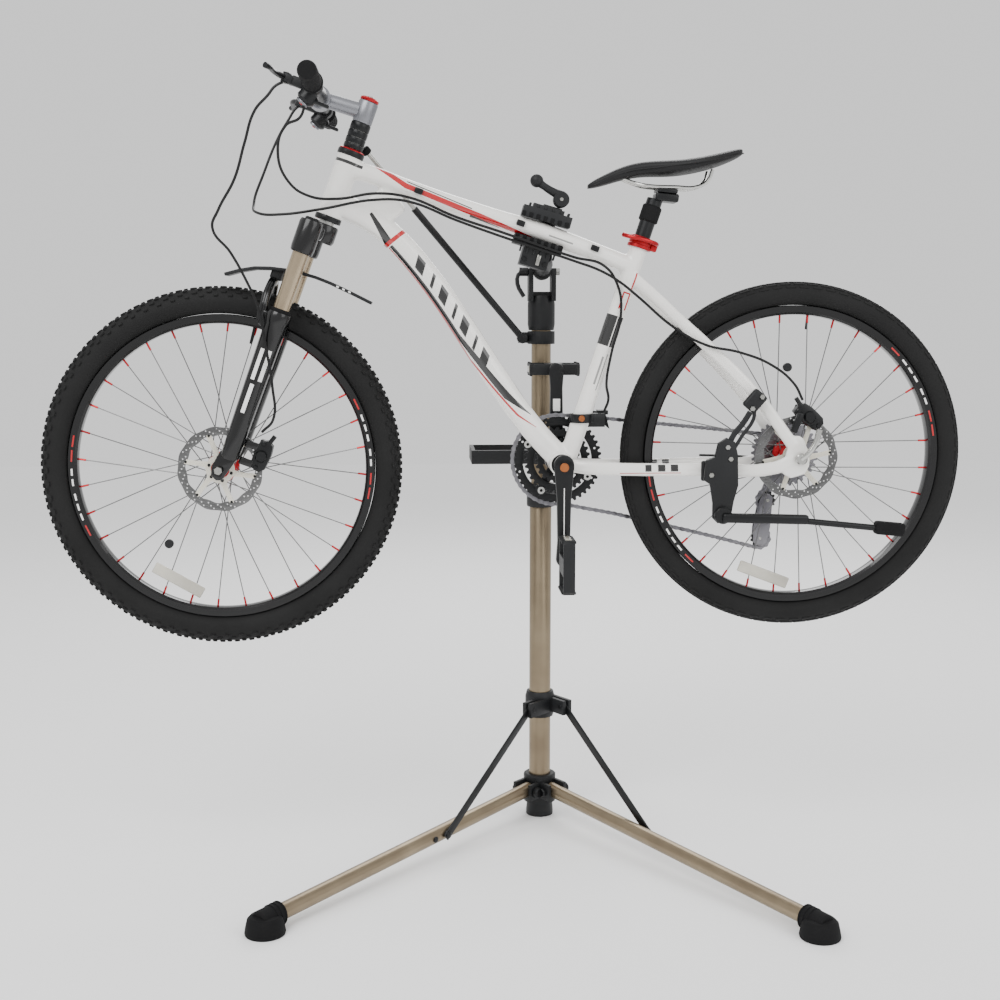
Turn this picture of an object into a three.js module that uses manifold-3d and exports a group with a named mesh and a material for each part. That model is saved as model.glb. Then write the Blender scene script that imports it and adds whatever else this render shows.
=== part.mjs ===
// Mountain bicycle held by its top tube in a folding two-legged repair stand.
// Millimetres, +Z up, +X towards the bicycle's rear wheel, -Y its left side.
// The origin is the middle of the mast's foot, on the floor.
import * as THREE from 'three';
import { mergeVertices } from 'three/addons/utils/BufferGeometryUtils.js';
import Module from 'manifold-3d';

const wasm = await Module();
wasm.setup();

// ---- Driving dimensions ----
const GAP = 0.3;                       // between neighbouring pieces
const BIKE_Y = -214;                   // the bicycle's mid-plane, in front of the mast

const MAST_R = 22.5, MAST_WALL = 1.6, MAST_TOP = 700;
const UPPER_R = 20, UPPER_BOTTOM = 450, UPPER_TOP = 1100;
const LEG_R = 15, LEG_DROP = 38;       // the leg falls this much from hub to foot
const LEFT_FOOT = [-525, -568], RIGHT_FOOT = [427, -640];
const HUB_R = 34, HUB_Z = 62, HUB_HALF = 26, LEG_PIVOT_R = 46;
const COLLAR_Z = 243, COLLAR_HALF = 27, STRUT_PIVOT_R = 58, STRUT_PIVOT_Z = 244;
const STRUT_END_R = 318;               // where the strut meets the leg, from the mast
const TRAY_Z = 754, TRAY_HEIGHT = 28;
const HEAD_PIVOT = [0, 1146];          // x and z of the clamp head's cross bolt
const JAW_TILT = THREE.MathUtils.degToRad(16);

const FRONT_WHEEL_R = 340, REAR_WHEEL_R = 333, RIM_R = 287, WHEEL_STEPS = 28;
const REAR_AXLE = [467, 790];
const BRACKET = [18, 777];             // bottom bracket axis
const HEAD_BOTTOM = [-420, 1236], HEAD_TUBE = 132;
const HEAD_LEAN = Math.atan2(46, 124); // the steering axis leans back from upright
const FORK_OFFSET = 20.6, FORK_HALF = 66, AXLE_DROP = 504.5, AXLE_FORWARD = 31.4;
const BAR_X = -87, BAR_Z = 202, BAR_HALF = 325;
const SEAT_TUBE_TOP = 1196, SEAT_RUN = 0.332;
const RING_R = 84.5, CHAIN_Y = 55, CHAIN_RING_R = 89, COG_R = 32.5;
const CRANK = 175, CRANK_Y = 77;

const seatX = (z) => 30 + SEAT_RUN * (z - BRACKET[1]);

// ---- Materials ----
const paint = (color, roughness, metalness) =>
  new THREE.MeshStandardMaterial({ color, roughness, metalness });
const BRONZE = paint(0x8c7f70, 0.35, 0.8);
const BLACK_PLASTIC = paint(0x26272a, 0.55, 0);
const BLACK_METAL = paint(0x1c1d1f, 0.35, 0.5);
const RUBBER = paint(0x222223, 0.85, 0);
const WHITE_PAINT = paint(0xf2f0ec, 0.18, 0);
const BLACK_PAINT = paint(0x111113, 0.15, 0.1);
const CHAMPAGNE = paint(0xa89880, 0.25, 0.9);
const STEEL = paint(0x9a9a98, 0.35, 0.9);
const RED_ANODISED = paint(0xb01c22, 0.3, 0.8);
const LEATHER = paint(0x1b1b1c, 0.5, 0);

// ---- Solids ----
function solid(geometry) {
  const bare = geometry.index ? geometry.toNonIndexed() : geometry;
  bare.deleteAttribute('normal');
  bare.deleteAttribute('uv');
  const merged = mergeVertices(bare, 1e-3);
  const triangles = [];
  const index = merged.index.array;
  for (let i = 0; i < index.length; i += 3) {
    const [a, b, c] = [index[i], index[i + 1], index[i + 2]];
    if (a !== b && b !== c && c !== a) triangles.push(a, b, c);
  }
  const vertProperties = new Float32Array(merged.attributes.position.array);
  const build = (list) => new wasm.Manifold(
    new wasm.Mesh({ numProp: 3, vertProperties, triVerts: new Uint32Array(list) }));
  const first = build(triangles);
  if (first.volume() > 0) return first;
  for (let i = 0; i < triangles.length; i += 3) {
    [triangles[i + 1], triangles[i + 2]] = [triangles[i + 2], triangles[i + 1]];
  }
  return build(triangles);
}

const join = (...solids) => solids.reduce((all, one) => all.add(one));

function box(centre, size, turn = 0) {
  return solid(new THREE.BoxGeometry(...size).rotateY(turn).translate(...centre));
}

function rod(start, end, radius, sides = 12, endRadius = radius) {
  const from = new THREE.Vector3(...start);
  const along = new THREE.Vector3(...end).sub(from);
  const shape = new THREE.CylinderGeometry(endRadius, radius, along.length(), sides);
  shape.translate(0, along.length() / 2, 0);
  const turn = new THREE.Quaternion().setFromUnitVectors(
    new THREE.Vector3(0, 1, 0), along.normalize());
  return solid(shape.applyQuaternion(turn).translate(...start));
}

// A closed outline of [radius, height] points turned about Z, or about Y for a wheel.
function turned(outline, steps = 16, aboutY = false) {
  const points = outline.map(([r, h]) => new THREE.Vector2(r, h));
  const shape = new THREE.LatheGeometry([...points, points[0]], steps);
  return solid(aboutY ? shape : shape.rotateX(Math.PI / 2));
}

const tube = (radius, bore, low, high, steps = 16) =>
  turned([[bore, low], [radius, low], [radius, high], [bore, high]], steps);

// An ellipse carried along a curve: half is its size across the curve's plane, then in it.
function sweep(points, half, { sides = 10, steps = 12, square = false } = {}) {
  const section = new THREE.Shape();
  if (square) {
    section.setFromPoints([[-1, -1], [1, -1], [1, 1], [-1, 1]].map(
      ([x, y]) => new THREE.Vector2(x * half[0], y * half[1])));
  } else {
    section.setFromPoints(Array.from({ length: sides }, (_, i) => {
      const angle = 2 * Math.PI * (i + 0.5) / sides;
      return new THREE.Vector2(half[0] * Math.cos(angle), half[1] * Math.sin(angle));
    }));
  }
  const path = new THREE.CatmullRomCurve3(
    points.map((p) => new THREE.Vector3(...p)), false, 'centripetal');
  return solid(new THREE.ExtrudeGeometry(section, { steps, extrudePath: path }));
}

// A flat plate: an outline of [x, z] points between two values of y.
function plate(outline, low, high) {
  const shape = new THREE.Shape(outline.map(([x, z]) => new THREE.Vector2(x, z)));
  const flat = new THREE.ExtrudeGeometry(shape, { depth: high - low, bevelEnabled: false });
  return solid(flat.rotateX(Math.PI / 2).translate(0, high, 0));
}

function meshOf(name, material, form) {
  const { vertProperties, triVerts } = form.getMesh();
  const geometry = new THREE.BufferGeometry();
  geometry.setAttribute('position', new THREE.BufferAttribute(vertProperties, 3));
  geometry.setIndex(new THREE.BufferAttribute(triVerts, 1));
  const mesh = new THREE.Mesh(geometry, material);
  mesh.name = name;
  return mesh;
}

const object = new THREE.Group();

// ---- Stand: foot, hub and mast ----
const footCap = turned([[0, 0], [29, 0], [29, 8], [26.5, 34], [0, 34]]);
const hubBody = turned([[0, 27], [HUB_R, 30], [HUB_R, 88], [31, 90], [0, 90]]);
const tubeSeat = turned([[0, 6], [MAST_R + 0.6, 6], [MAST_R + 0.6, 100], [0, 100]]);
function towards([x, y]) {
  const length = Math.hypot(x, y);
  return { angle: Math.atan2(y, x), length };
}
function lug(foot) {
  const cheeks = [-1, 1].map((side) => solid(new THREE.BoxGeometry(34, 7, 34)
    .translate(LEG_PIVOT_R - 3, side * 20, HUB_Z)
    .rotateZ(towards(foot).angle)));
  return join(...cheeks);
}
// Room for the end of a leg to turn about its pin.
function legRoom(foot) {
  return solid(new THREE.CylinderGeometry(18.5, 18.5, 32.6, 20)
    .translate(LEG_PIVOT_R, 0, HUB_Z).rotateZ(towards(foot).angle));
}
const legHub = join(footCap, hubBody, lug(LEFT_FOOT), lug(RIGHT_FOOT)).subtract(tubeSeat)
  .subtract(legRoom(LEFT_FOOT)).subtract(legRoom(RIGHT_FOOT));
object.add(meshOf('leg_hub', BLACK_PLASTIC, legHub));
object.add(meshOf('mast_lower_tube', BRONZE,
  tube(MAST_R, MAST_R - MAST_WALL, 6 + GAP, MAST_TOP)));

// Legs, rubber feet and struts are made along +X and turned to their own direction.
function legGroup(side, foot) {
  const { angle, length } = towards(foot);
  const group = new THREE.Group();
  group.rotation.z = angle;
  const slope = LEG_DROP / (length - LEG_PIVOT_R);
  const legZ = (r) => HUB_Z - slope * (r - LEG_PIVOT_R);
  const end = length + 4;
  const leg = join(
    rod([LEG_PIVOT_R - 8, 0, legZ(LEG_PIVOT_R - 8)], [end, 0, legZ(end)], LEG_R, 16),
    rod([LEG_PIVOT_R, -16, HUB_Z], [LEG_PIVOT_R, 16, HUB_Z], 7, 12))
    .subtract(rod([LEG_PIVOT_R + 30, 0, legZ(LEG_PIVOT_R + 30)],
      [end + 9, 0, legZ(end + 9)], LEG_R - 1.8, 12));
  group.add(meshOf(`leg_${side}`, BRONZE, leg));
  const sleeve = rod([length - 34, 0, legZ(length - 34)], [length + 16, 0, legZ(length + 16)],
    21, 16);
  const shoe = solid(new THREE.CylinderGeometry(32, 36, 30, 20).rotateX(Math.PI / 2)
    .translate(length + 2, 0, 15));
  const bore = rod([length - 50, 0, legZ(length - 50)], [end + GAP, 0, legZ(end + GAP)],
    LEG_R + 0.6, 16);
  const below = box([length, 0, -30], [200, 200, 60]);
  group.add(meshOf(`foot_${side}`, RUBBER, join(sleeve, shoe).subtract(bore).subtract(below)));
  const strut = rodStrut(legZ(STRUT_END_R));
  group.add(meshOf(`strut_${side}`, BLACK_METAL, strut));
  return group;
}

// A flat bar beside the leg, from the collar's ear to the rivet on the leg.
function rodStrut(endZ) {
  const run = STRUT_END_R - STRUT_PIVOT_R;
  const rise = STRUT_PIVOT_Z - endZ;
  const bar = new THREE.BoxGeometry(Math.hypot(run, rise) + 16, 4, 17)
    .rotateY(Math.atan2(rise, run))
    .translate((STRUT_PIVOT_R + STRUT_END_R) / 2, 19, (STRUT_PIVOT_Z + endZ) / 2);
  return solid(bar);
}
object.add(legGroup('left', LEFT_FOOT), legGroup('right', RIGHT_FOOT));

// ---- Stand: sliding collar, height clamp and tool tray ----
const collarEars = [LEFT_FOOT, RIGHT_FOOT].map((foot) => join(...[11.5, 26.5].map(
  (y) => solid(new THREE.BoxGeometry(62, 8, 30)
    .translate(37, y, COLLAR_Z).rotateZ(towards(foot).angle)))));
const collarBore = turned([[0, 200], [MAST_R + 0.8, 200], [MAST_R + 0.8, 300], [0, 300]]);
object.add(meshOf('strut_collar', BLACK_PLASTIC, join(
  turned([[0, COLLAR_Z - COLLAR_HALF], [28, COLLAR_Z - COLLAR_HALF], [31, COLLAR_Z - 16],
    [31, COLLAR_Z + 16], [28, COLLAR_Z + COLLAR_HALF], [0, COLLAR_Z + COLLAR_HALF]]),
  ...collarEars).subtract(collarBore)));

const clampRing = join(
  turned([[0, 664], [28, 664], [29, 668], [29, 708], [27, 712], [0, 712]]),
  box([0, 34, 688], [34, 20, 30]), rod([-20, 38, 688], [46, 38, 688], 5, 8),
  box([46, 38, 668], [8, 12, 56]));
object.add(meshOf('height_clamp', BLACK_PLASTIC, clampRing
  .subtract(turned([[0, 650], [MAST_R + 0.5, 650], [MAST_R + 0.5, MAST_TOP + 0.5],
    [0, MAST_TOP + 0.5]]))
  .subtract(turned([[0, 690], [UPPER_R + 0.6, 690], [UPPER_R + 0.6, 720], [0, 720]]))));

const trayBody = join(
  box([-62, 50, TRAY_Z + TRAY_HEIGHT / 2], [164, 132, TRAY_HEIGHT]),
  turned([[0, TRAY_Z], [27.5, TRAY_Z], [27.5, TRAY_Z + 40], [0, TRAY_Z + 40]]));
const trayHollow = box([-84, 52, TRAY_Z + TRAY_HEIGHT / 2 + 5], [104, 116, TRAY_HEIGHT]);
const trayHoles = join(...[[-120, 20], [-120, 52], [-120, 84], [-84, 20], [-84, 84]].map(
  ([x, y]) => rod([x, y, TRAY_Z - 5], [x, y, TRAY_Z + 20], 11, 12)));
object.add(meshOf('tool_tray', BLACK_PLASTIC, trayBody.subtract(trayHollow)
  .subtract(trayHoles)
  .subtract(rod([0, 0, TRAY_Z - 9], [0, 0, TRAY_Z + 60], UPPER_R + 0.5, 24))));

// ---- Stand: upper mast, stabiliser and clamp head ----
object.add(meshOf('mast_upper_tube', BRONZE,
  tube(UPPER_R, UPPER_R - MAST_WALL, UPPER_BOTTOM, UPPER_TOP - 22)));

const STAB_PIVOT = [-40, -12, 1012], STAB_TIP = [-352, -182, 1370];
const stabCollar = join(
  tube(28, UPPER_R + 0.5, 1000, 1026),
  box([-36, 6, 1013], [22, 14, 22]));
object.add(meshOf('stabiliser_collar', BLACK_PLASTIC, stabCollar));
const lerp = (a, b, t) => a.map((value, i) => value + (b[i] - value) * t);
object.add(meshOf('stabiliser_arm', BLACK_METAL, join(
  rod(STAB_PIVOT, lerp(STAB_PIVOT, STAB_TIP, 0.7), 7, 10),
  rod(lerp(STAB_PIVOT, STAB_TIP, 0.6), STAB_TIP, 4, 10),
  rod([-40, -20, 1012], [-40, -1.5, 1012], 11, 12))));

const sleeve = join(
  turned([[0, 1028], [26, 1028], [28, 1040], [28, 1082], [25, 1098], [0, 1098]]),
  box([-23, -6, 1120], [9, 46, 66]), box([23, -6, 1120], [9, 46, 66]),
  box([0, 10, 1100], [50, 34, 12]));
const sleeveBore = rod([0, 0, 1020], [0, 0, UPPER_TOP - 21.5], UPPER_R + 0.5, 24);
object.add(meshOf('head_yoke', BLACK_PLASTIC, sleeve.subtract(sleeveBore)
  .subtract(rod([-60, -14, HEAD_PIVOT[1]], [60, -14, HEAD_PIVOT[1]], 5.6, 12))));
object.add(meshOf('head_lever', BLACK_PLASTIC, join(
  rod([-46, -14, HEAD_PIVOT[1]], [-28.5, -14, HEAD_PIVOT[1]], 9, 12),
  sweep([[-42, -14, 1146], [-50, -18, 1138], [-50, -22, 1118], [-38, -26, 1096]], [7, 4],
    { steps: 6, sides: 8 }))));

// The head's arm comes forward from the yoke; the lower jaw lies along the top tube.
const jawAt = ([x, z]) => [-20 + x * Math.cos(JAW_TILT) + z * Math.sin(JAW_TILT),
  1216.5 - x * Math.sin(JAW_TILT) + z * Math.cos(JAW_TILT)];
function jawBox(centre, size, y = 0) {
  const [x, z] = jawAt(centre);
  return box([x, BIKE_Y + y, z], size, JAW_TILT);
}
const clampBody = join(
  rod([0, -31, HEAD_PIVOT[1]], [0, 3, HEAD_PIVOT[1]], 17, 20),
  rod([0, -14, HEAD_PIVOT[1]], [-4, -112, 1158], 15, 12),
  rod([-4, -104, 1157], [-12, BIKE_Y + 40, 1172], 17, 12),
  jawBox([2, -48], [52, 56, 44], 8),
  jawBox([0, -27], [94, 44, 18]),
  jawBox([10, 0], [30, 12, 60], 36));
const TOP_TUBE = [[-378, 1330], [-330, 1316], [-280, 1297], [-109, 1241], [-20, 1216],
  [34, 1196], [158, 1148]];
const topTubeShape = (y, half) => sweep(TOP_TUBE.map(([x, z]) => [x, y, z]), half,
  { sides: 10, steps: 8 });
const topTubeRoom = topTubeShape(BIKE_Y, [19.3, 18.3]);
object.add(meshOf('clamp_body', BLACK_PLASTIC, clampBody.subtract(topTubeRoom)));
object.add(meshOf('clamp_jaw', BLACK_PLASTIC, join(
  jawBox([2, 28], [94, 44, 20]), jawBox([2, 40], [60, 30, 12]),
  jawBox([10, 45], [34, 26, 14], 33), jawBox([10, 45], [34, 40, 9], 14))
  .subtract(topTubeRoom)));
const [leverX, leverZ] = jawAt([20, 66]);
object.add(meshOf('clamp_lever', BLACK_PLASTIC, join(
  rod([leverX, BIKE_Y - 12, leverZ], [leverX, BIKE_Y + 12, leverZ], 15, 14),
  sweep([[leverX - 4, BIKE_Y, leverZ + 8], [leverX - 22, BIKE_Y, leverZ + 16],
    [leverX - 44, BIKE_Y, leverZ + 32]], [9, 7], { steps: 5, sides: 10 }),
  solid(new THREE.SphereGeometry(13, 12, 8)
    .translate(leverX - 47, BIKE_Y, leverZ + 35)))));

// ---- Bicycle: frame ----
const bicycle = new THREE.Group();
bicycle.position.y = BIKE_Y;
object.add(bicycle);
const add = (name, material, form) => bicycle.add(meshOf(name, material, form));

const both = (make) => join(make(-1), make(1));
const headAxis = (along) => [HEAD_BOTTOM[0] + along * Math.sin(HEAD_LEAN), 0,
  HEAD_BOTTOM[1] + along * Math.cos(HEAD_LEAN)];
const headTube = rod(headAxis(0), headAxis(HEAD_TUBE), 24, 20);
const topTube = topTubeShape(0, [18.5, 17.5]);
const downTube = sweep([[-398, 0, 1262], [-340, 0, 1236], [-295, 0, 1201], [-232, 0, 1129],
  [-189, 0, 1069], [-112, 0, 951], [-43, 0, 853], [20, 0, 780]], [21, 24],
{ sides: 10, steps: 10 });
const gusset = plate([[-372, 1325], [-290, 1290], [-262, 1262], [-276, 1190], [-330, 1225],
  [-396, 1262]], -14, 14);
const seatTube = rod([seatX(790), 0, 790], [seatX(SEAT_TUBE_TOP), 0, SEAT_TUBE_TOP], 18, 16);
const bracketShell = rod([BRACKET[0], -34, BRACKET[1]], [BRACKET[0], 34, BRACKET[1]], 23, 14);
const seatStay = (side) => sweep([[152, side * 10, 1132], [200, side * 26, 1088],
  [240, side * 37, 1049], [300, side * 48, 994], [390, side * 62, 901], [456, side * 71, 812]],
[8, 14], { sides: 6, steps: 8 });
const chainStay = (side) => sweep([[28, side * 20, 774], [70, side * 32, 770],
  [130, side * 38, 768], [300, side * 56, 768], [420, side * 69, 772], [456, side * 72, 788]],
[14, 7], { sides: 6, steps: 8 });
const dropout = (side) => plate([[436, 760], [450, 752], [484, 764], [486, 796], [474, 830],
  [452, 832], [440, 800]], side * 72 - 4, side * 72 + 4);
const axleSlot = rod([REAR_AXLE[0], -90, REAR_AXLE[1]], [REAR_AXLE[0], 90, REAR_AXLE[1]], 5.6, 10);
const postBore = rod([seatX(980), 0, 980], [seatX(1210), 0, 1210], 15.8, 16);
const frame = join(headTube, topTube, downTube, gusset, seatTube, bracketShell,
  both(seatStay), both(chainStay), both(dropout))
  .subtract(rod(headAxis(-5), headAxis(HEAD_TUBE + 5), 17.4, 20))
  .subtract(rod([BRACKET[0], -40, BRACKET[1]], [BRACKET[0], 40, BRACKET[1]], 13.5, 16))
  .subtract(postBore).subtract(axleSlot);
add('frame', WHITE_PAINT, frame);

// ---- Bicycle: saddle and post ----
const SADDLE_HEAD = [222, 1300];
add('seat_post', BLACK_METAL, join(
  rod([seatX(1000), 0, 1000], [seatX(1278), 0, 1278], 15, 16),
  box([SADDLE_HEAD[0] - 6, 0, 1278], [44, 44, 20], 0.1)));
add('seat_clamp', RED_ANODISED, join(
  rod([seatX(1184), 0, 1184], [seatX(1206), 0, 1206], 23, 18),
  box([seatX(1194) + 26, 0, 1192], [16, 20, 16], 0.32))
  .subtract(rod([seatX(1170), 0, 1170], [seatX(SEAT_TUBE_TOP), 0, SEAT_TUBE_TOP], 18.4, 16))
  .subtract(rod([seatX(1190), 0, 1190], [seatX(1230), 0, 1230], 15.5, 16)));
add('seat_clamp_lever', RED_ANODISED, sweep([[seatX(1194) + 30, -12, 1191],
  [seatX(1194) + 26, -20, 1193], [seatX(1194) + 6, -30, 1199], [seatX(1194) - 24, -27, 1206],
  [seatX(1194) - 34, -14, 1210]], [5, 3], { steps: 10, sides: 8 }));
const SADDLE = [
  { x: 72, z: 1308, half: 14, depth: 12 }, { x: 120, z: 1330, half: 21, depth: 20 },
  { x: 175, z: 1344, half: 28, depth: 24 }, { x: 230, z: 1346, half: 52, depth: 22 },
  { x: 290, z: 1350, half: 72, depth: 22 }, { x: 345, z: 1362, half: 66, depth: 18 }];
const saddleBlocks = SADDLE.slice(1).map((next, i) => {
  const last = SADDLE[i];
  const points = [];
  for (const s of [last, next]) {
    for (let k = 0; k <= 6; k += 1) {
      const t = -1 + k / 3;
      points.push(new THREE.Vector3(s.x, t * s.half, s.z - (s.depth * 0.3) * t * t));
      points.push(new THREE.Vector3(s.x, t * s.half, s.z - s.depth));
    }
  }
  return points;
});
function hull(points) {
  return wasm.Manifold.hull(points.map((p) => [p.x, p.y, p.z]));
}
add('saddle', LEATHER, join(...saddleBlocks.map(hull)));

const rail = [[292, 22, 1320], [288, 22, 1308], [272, 22, 1297.5], [230, 21, 1297.5],
  [176, 19, 1300], [152, 12, 1306]];
add('saddle_rails', STEEL, sweep([...rail, [148, 0, 1307],
  ...rail.toReversed().map(([x, y, z]) => [x, -y, z])], [3.5, 3.5], { steps: 22, sides: 6 }));

// ---- Bicycle: everything that steers, in a frame whose Z is the steering axis ----
const steering = new THREE.Group();
steering.position.set(HEAD_BOTTOM[0], 0, HEAD_BOTTOM[1]);
steering.rotation.y = HEAD_LEAN;
bicycle.add(steering);
const steer = (name, material, form) => steering.add(meshOf(name, material, form));

const stanchion = (side) => rod([-FORK_OFFSET, side * FORK_HALF, -240],
  [-FORK_OFFSET, side * FORK_HALF, -20], 15.5, 16);
const crownEnd = (side) => rod([-FORK_OFFSET, side * FORK_HALF, -76],
  [-FORK_OFFSET, side * FORK_HALF, -14], 22, 16);
steer('fork_upper', BLACK_PAINT, join(
  both(stanchion), both(crownEnd), box([-12, 0, -28], [56, 130, 30]),
  tube(25, 10, -40, -9, 20), rod([0, 0, -30], [0, 0, 187.5], 14, 16)));
const lowerLeg = (side) => join(
  rod([-FORK_OFFSET, side * FORK_HALF, -470], [-FORK_OFFSET, side * FORK_HALF, -191], 17, 14, 21.5),
  box([-FORK_OFFSET - 9, side * (FORK_HALF - 5), -492], [30, 12, 60]));
const lowerBore = (side) => rod([-FORK_OFFSET, side * FORK_HALF, -330],
  [-FORK_OFFSET, side * FORK_HALF, -180], 16.4, 16);
const arch = sweep([[-48, -60, -208], [-54, -58, -180], [-54, -36, -150], [-54, 0, -138],
  [-54, 36, -150], [-54, 58, -180], [-48, 60, -208]], [8, 7], { steps: 18, sides: 8 });
const archFoot = (side) => box([-42, side * 60, -206], [18, 16, 22]);
steer('fork_lowers', BLACK_PAINT, join(both(lowerLeg), arch, both(archFoot))
  .subtract(both(lowerBore))
  .subtract(rod([-AXLE_FORWARD, -90, -AXLE_DROP], [-AXLE_FORWARD, 90, -AXLE_DROP], 5.6, 10)));
steer('stem', STEEL, join(
  tube(18, 14.4, 188, 228, 16), rod([-14, 0, 208], [-72, 0, 204], 15, 12),
  rod([BAR_X, -24, BAR_Z], [BAR_X, 24, BAR_Z], 21, 14))
  .subtract(rod([BAR_X, -60, BAR_Z], [BAR_X, 60, BAR_Z], 16.2, 14))
  .subtract(tube(14.4, 0, 180, 240, 16)));
steer('handlebar', BLACK_METAL, join(
  rod([BAR_X, -60, BAR_Z], [BAR_X, 60, BAR_Z], 15.7, 16),
  rod([BAR_X, -BAR_HALF + 3, BAR_Z], [BAR_X, BAR_HALF - 3, BAR_Z], 11, 14)));
for (const [word, side] of [['left', -1], ['right', 1]]) {
  const y = (distance) => side * distance;
  steer(`grip_${word}`, RUBBER, join(
    rod([BAR_X, y(195), BAR_Z], [BAR_X, y(BAR_HALF), BAR_Z], 16, 14),
    rod([BAR_X, y(195), BAR_Z], [BAR_X, y(201), BAR_Z], 18, 14))
    .subtract(rod([BAR_X, y(190), BAR_Z], [BAR_X, y(BAR_HALF - 2.5), BAR_Z], 11.4, 14)));
  steer(`lever_perch_${word}`, BLACK_PLASTIC, join(
    rod([BAR_X, y(140), BAR_Z], [BAR_X, y(170), BAR_Z], 15, 14),
    box([BAR_X - 22, y(150), BAR_Z - 4], [34, 22, 18]),
    rod([BAR_X - 8, y(158), BAR_Z - 32], [BAR_X + 2, y(158), BAR_Z - 10], 17, 12),
    box([BAR_X + 16, y(160), BAR_Z - 26], [40, 16, 8]))
    .subtract(rod([BAR_X, y(130), BAR_Z], [BAR_X, y(180), BAR_Z], 11.4, 14)));
  steer(`brake_lever_${word}`, BLACK_METAL, join(
    rod([BAR_X - 50, y(150), BAR_Z - 12], [BAR_X - 50, y(150), BAR_Z + 4], 8, 12),
    sweep([[BAR_X - 50, y(152), BAR_Z - 4], [BAR_X - 66, y(176), BAR_Z - 5],
      [BAR_X - 68, y(210), BAR_Z - 7], [BAR_X - 70, y(258), BAR_Z - 9]], [5, 6],
    { steps: 8, sides: 8 })));
}
steer('front_fender', BLACK_PLASTIC, join(
  sweep([[-143, 0, -161], [-100, 0, -133], [-43, 0, -115], [19, 0, -108], [73, 0, -111],
    [129, 0, -117]],
    [30, 3], { steps: 10, square: true })));
steer('front_caliper', BLACK_METAL, join(
  box([34, -34.5, -455], [30, 9, 62]), box([34, -50.5, -455], [30, 12, 62]),
  box([34, -43, -428], [30, 26, 10]), box([10, -55, -452], [28, 9, 40]))
  .subtract(rod([-AXLE_FORWARD, -44.4, -AXLE_DROP], [-AXLE_FORWARD, -39.6, -AXLE_DROP], 84, 24))
  .subtract(both(lowerLegRoom)));
function lowerLegRoom(side) {
  return rod([-FORK_OFFSET, side * FORK_HALF, -520], [-FORK_OFFSET, side * FORK_HALF, -380],
    22.6, 16);
}

// ---- Wheels: tyre, rim, spoked hub and brake disc about an axle along Y ----
function tyre(radius, half) {
  const bead = RIM_R + 1.5;
  const side = radius - 34;
  const crown = radius - 13;
  return turned([[bead, -13.5], [side, -half], [crown, -half * 0.8], [radius, 0],
    [crown, half * 0.8], [side, half], [bead, 13.5], [bead, 9.5], [radius - 9, 0],
    [bead, -9.5]], WHEEL_STEPS, true);
}
const rim = () => turned([[RIM_R, -13], [278, -9], [278, 9], [RIM_R, 13], [270, 8], [270, -8]], WHEEL_STEPS, true);
function spokedHub(half, axleHalf) {
  const flange = half - 8;
  const shell = turned([[0, -half], [16, -half], [26, -flange - 2], [26, -flange + 3], [15, -14],
    [15, 14], [26, flange - 3], [26, flange + 2], [16, half], [0, half]], 12, true);
  const spokes = [];
  for (let i = 0; i < 32; i += 1) {
    const side = i % 2 ? 1 : -1;
    const lead = i % 4 < 2 ? 1 : -1;
    const atRim = 2 * Math.PI * (i + 0.5) / 32;
    const atHub = atRim + lead * THREE.MathUtils.degToRad(62);
    spokes.push(rod([23 * Math.cos(atHub), side * (flange + 1.6 * lead), 23 * Math.sin(atHub)],
      [266 * Math.cos(atRim), side * 2, 266 * Math.sin(atRim)], 1.1, 3));
  }
  return join(shell, rod([0, -axleHalf, 0], [0, axleHalf, 0], 5, 8), ...spokes);
}
function disc(y) {
  const arms = Array.from({ length: 6 }, (_, i) => solid(new THREE.BoxGeometry(44, 2, 9)
    .translate(44, y, 0).rotateY(i * Math.PI / 3)));
  return join(turned([[64, y - 1], [80, y - 1], [80, y + 1], [64, y + 1]], 24, true), ...arms,
    turned([[17.5, y - 1], [26, y - 1], [26, y + 1], [17.5, y + 1]], 12, true));
}
function wheel(word, parent, place, radius, half, hubHalf, axleHalf, discY) {
  const group = new THREE.Group();
  group.position.set(place[0], 0, place[1]);
  parent.add(group);
  group.add(meshOf(`${word}_tyre`, RUBBER, tyre(radius, half)));
  group.add(meshOf(`${word}_rim`, BLACK_PAINT, rim()));
  group.add(meshOf(`${word}_hub`, RED_ANODISED, spokedHub(hubHalf, axleHalf)));
  group.add(meshOf(`${word}_rotor`, STEEL, disc(discY)));
}
wheel('front', steering, [-AXLE_FORWARD, -AXLE_DROP], FRONT_WHEEL_R, 26, 36, 70, -42);
wheel('rear', bicycle, REAR_AXLE, REAR_WHEEL_R, 24, 34, 80, -48);

// ---- Drivetrain ----
function chainRing(radius, inner, y) {
  return turned([[inner, y - 1.3], [radius, y - 1.3], [radius, y + 1.3], [inner, y + 1.3]],
    24, true).translate([BRACKET[0], 0, BRACKET[1]]);
}
function crankArm(side, up) {
  const [x, z] = BRACKET;
  const low = Math.min(side * (CRANK_Y - 9), side * (CRANK_Y + 9));
  const end = z + up * CRANK;
  return join(
    rod([x, low, z], [x, low + 18, z], 19, 16), rod([x, low + 2, end], [x, low + 16, end], 15, 14),
    plate([[x - 15, z], [x + 15, z], [x + 12, end], [x - 12, end]], low + 2, low + 16));
}
const spider = Array.from({ length: 4 }, (_, i) => solid(new THREE.BoxGeometry(64, 5, 13)
  .translate(42, CHAIN_Y + 6, 0).rotateY(i * Math.PI / 2 + 0.5)
  .translate(BRACKET[0], 0, BRACKET[1])));
const ringBolt = Array.from({ length: 4 }, (_, i) => {
  const angle = -(i * Math.PI / 2 + 0.5);
  const x = BRACKET[0] + 56 * Math.cos(angle);
  const z = BRACKET[1] + 56 * Math.sin(angle);
  return rod([x, CHAIN_Y - 8.5, z], [x, CHAIN_Y + 8, z], 6, 6);
});
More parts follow.
